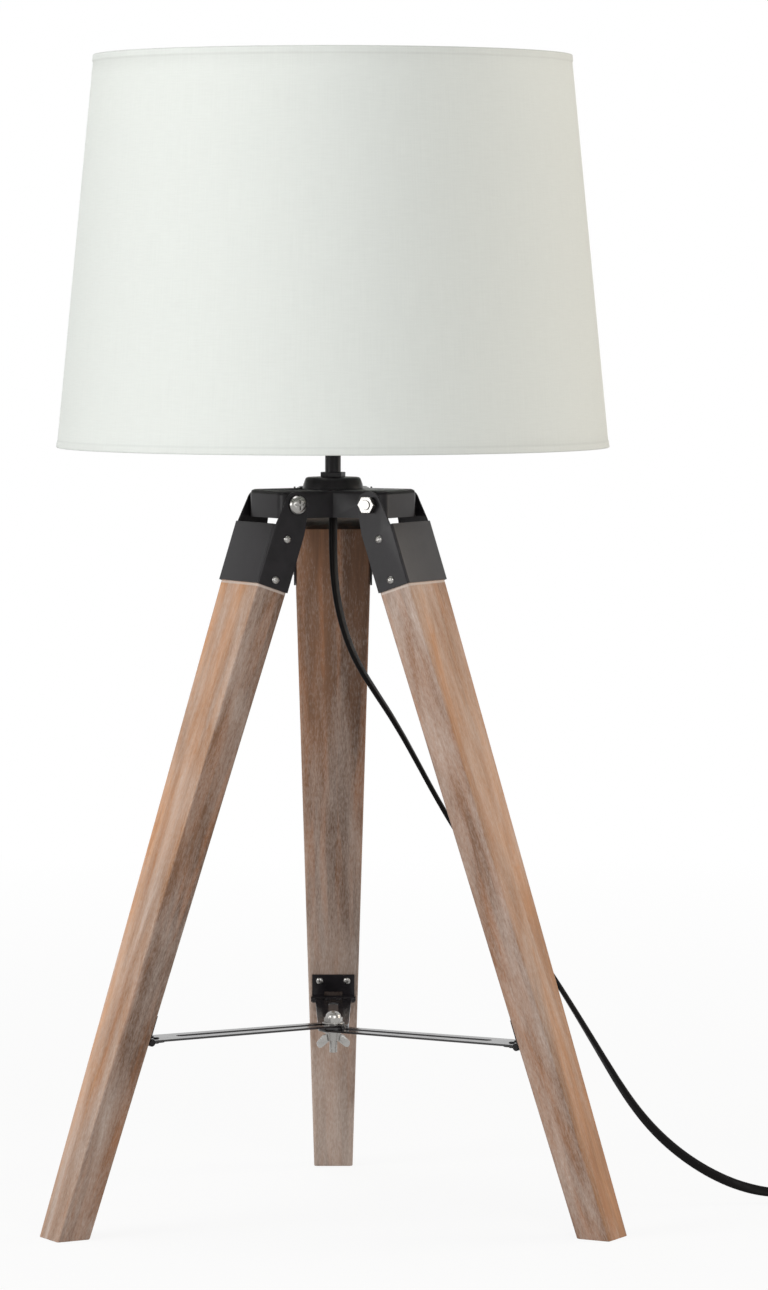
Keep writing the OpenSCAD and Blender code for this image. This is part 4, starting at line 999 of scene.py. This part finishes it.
class LAMP_OT_fasteners(bpy.types.Operator):
    """Finishes the bolts, nuts, washers and screws in bright zinc"""

    bl_idname = "lamp.fasteners"
    bl_label = "Fasteners"

    def execute(self, context):
        zinc = finish("zinc", zinc_plate)
        for node in ("pivot_bolts", "pivot_nuts", "clamp_bolt", "clamp_washers", "wing_nut"):
            rounded(node, f"{node}_plated", zinc, "bright_zinc", 0.00025)
        for leg in LEGS:
            for node in (f"leg_{leg}_cap_screws", f"leg_{leg}_leaf_screws"):
                rounded(node, f"{node}_plated", zinc, "bright_zinc", 0.0001)
        paint(zinc, "switch_screws", "plug_pins")
        return {"FINISHED"}


class LAMP_OT_electrics(bpy.types.Operator):
    """Finishes the lampholder, the switch and the plug"""

    bl_idname = "lamp.electrics"
    bl_label = "Electrics"

    def execute(self, context):
        black = finish("black", moulded_black)
        for node, width in (("lampholder_cap", 0.0004), ("lampholder_body", 0.0003),
                            ("clamp_ring", 0.0006), ("cord_bush", 0.0003)):
            rounded(node, f"{node}_moulded", black, "black_plastic", width)
        paint(black, "switch_base", "switch_cover")
        paint(finish("brass", rolled_brass), "screw_shell", "centre_contact")
        paint(finish("pale", pale_thermoset), "lampholder_base")
        return {"FINISHED"}


class LAMP_PT_panel(bpy.types.Panel):
    """Lists the lamp's steps and sizes"""

    bl_label = "Tripod Table Lamp"
    bl_idname = "LAMP_PT_panel"
    bl_space_type = "VIEW_3D"
    bl_region_type = "UI"
    bl_category = "Lamp"

    def draw(self, context):
        for group in (context.scene.lamp_sizes, context.scene.lamp_colours):
            for name in group.__annotations__:
                self.layout.prop(group, name)
        for step in STEPS:
            self.layout.operator(step.bl_idname)


STEPS = (LAMP_OT_stage, LAMP_OT_cord, LAMP_OT_shade, LAMP_OT_legs, LAMP_OT_steelwork,
         LAMP_OT_fasteners, LAMP_OT_electrics)
CLASSES = (LampSizes, LampColours, *STEPS, LAMP_PT_panel)


def register():
    """Registers the classes, and the sizes and colours on the scene."""
    for cls in CLASSES:
        bpy.utils.register_class(cls)
    bpy.types.Scene.lamp_sizes = PointerProperty(type=LampSizes)
    bpy.types.Scene.lamp_colours = PointerProperty(type=LampColours)


def unregister():
    """Takes back what register did."""
    del bpy.types.Scene.lamp_colours
    del bpy.types.Scene.lamp_sizes
    for cls in reversed(CLASSES):
        bpy.utils.unregister_class(cls)


def main():
    """Runs every step in order."""
    register()
    for step in STEPS:
        group, name = step.bl_idname.split(".")
        getattr(getattr(bpy.ops, group), name)()


if __name__ == "__main__":
    main()
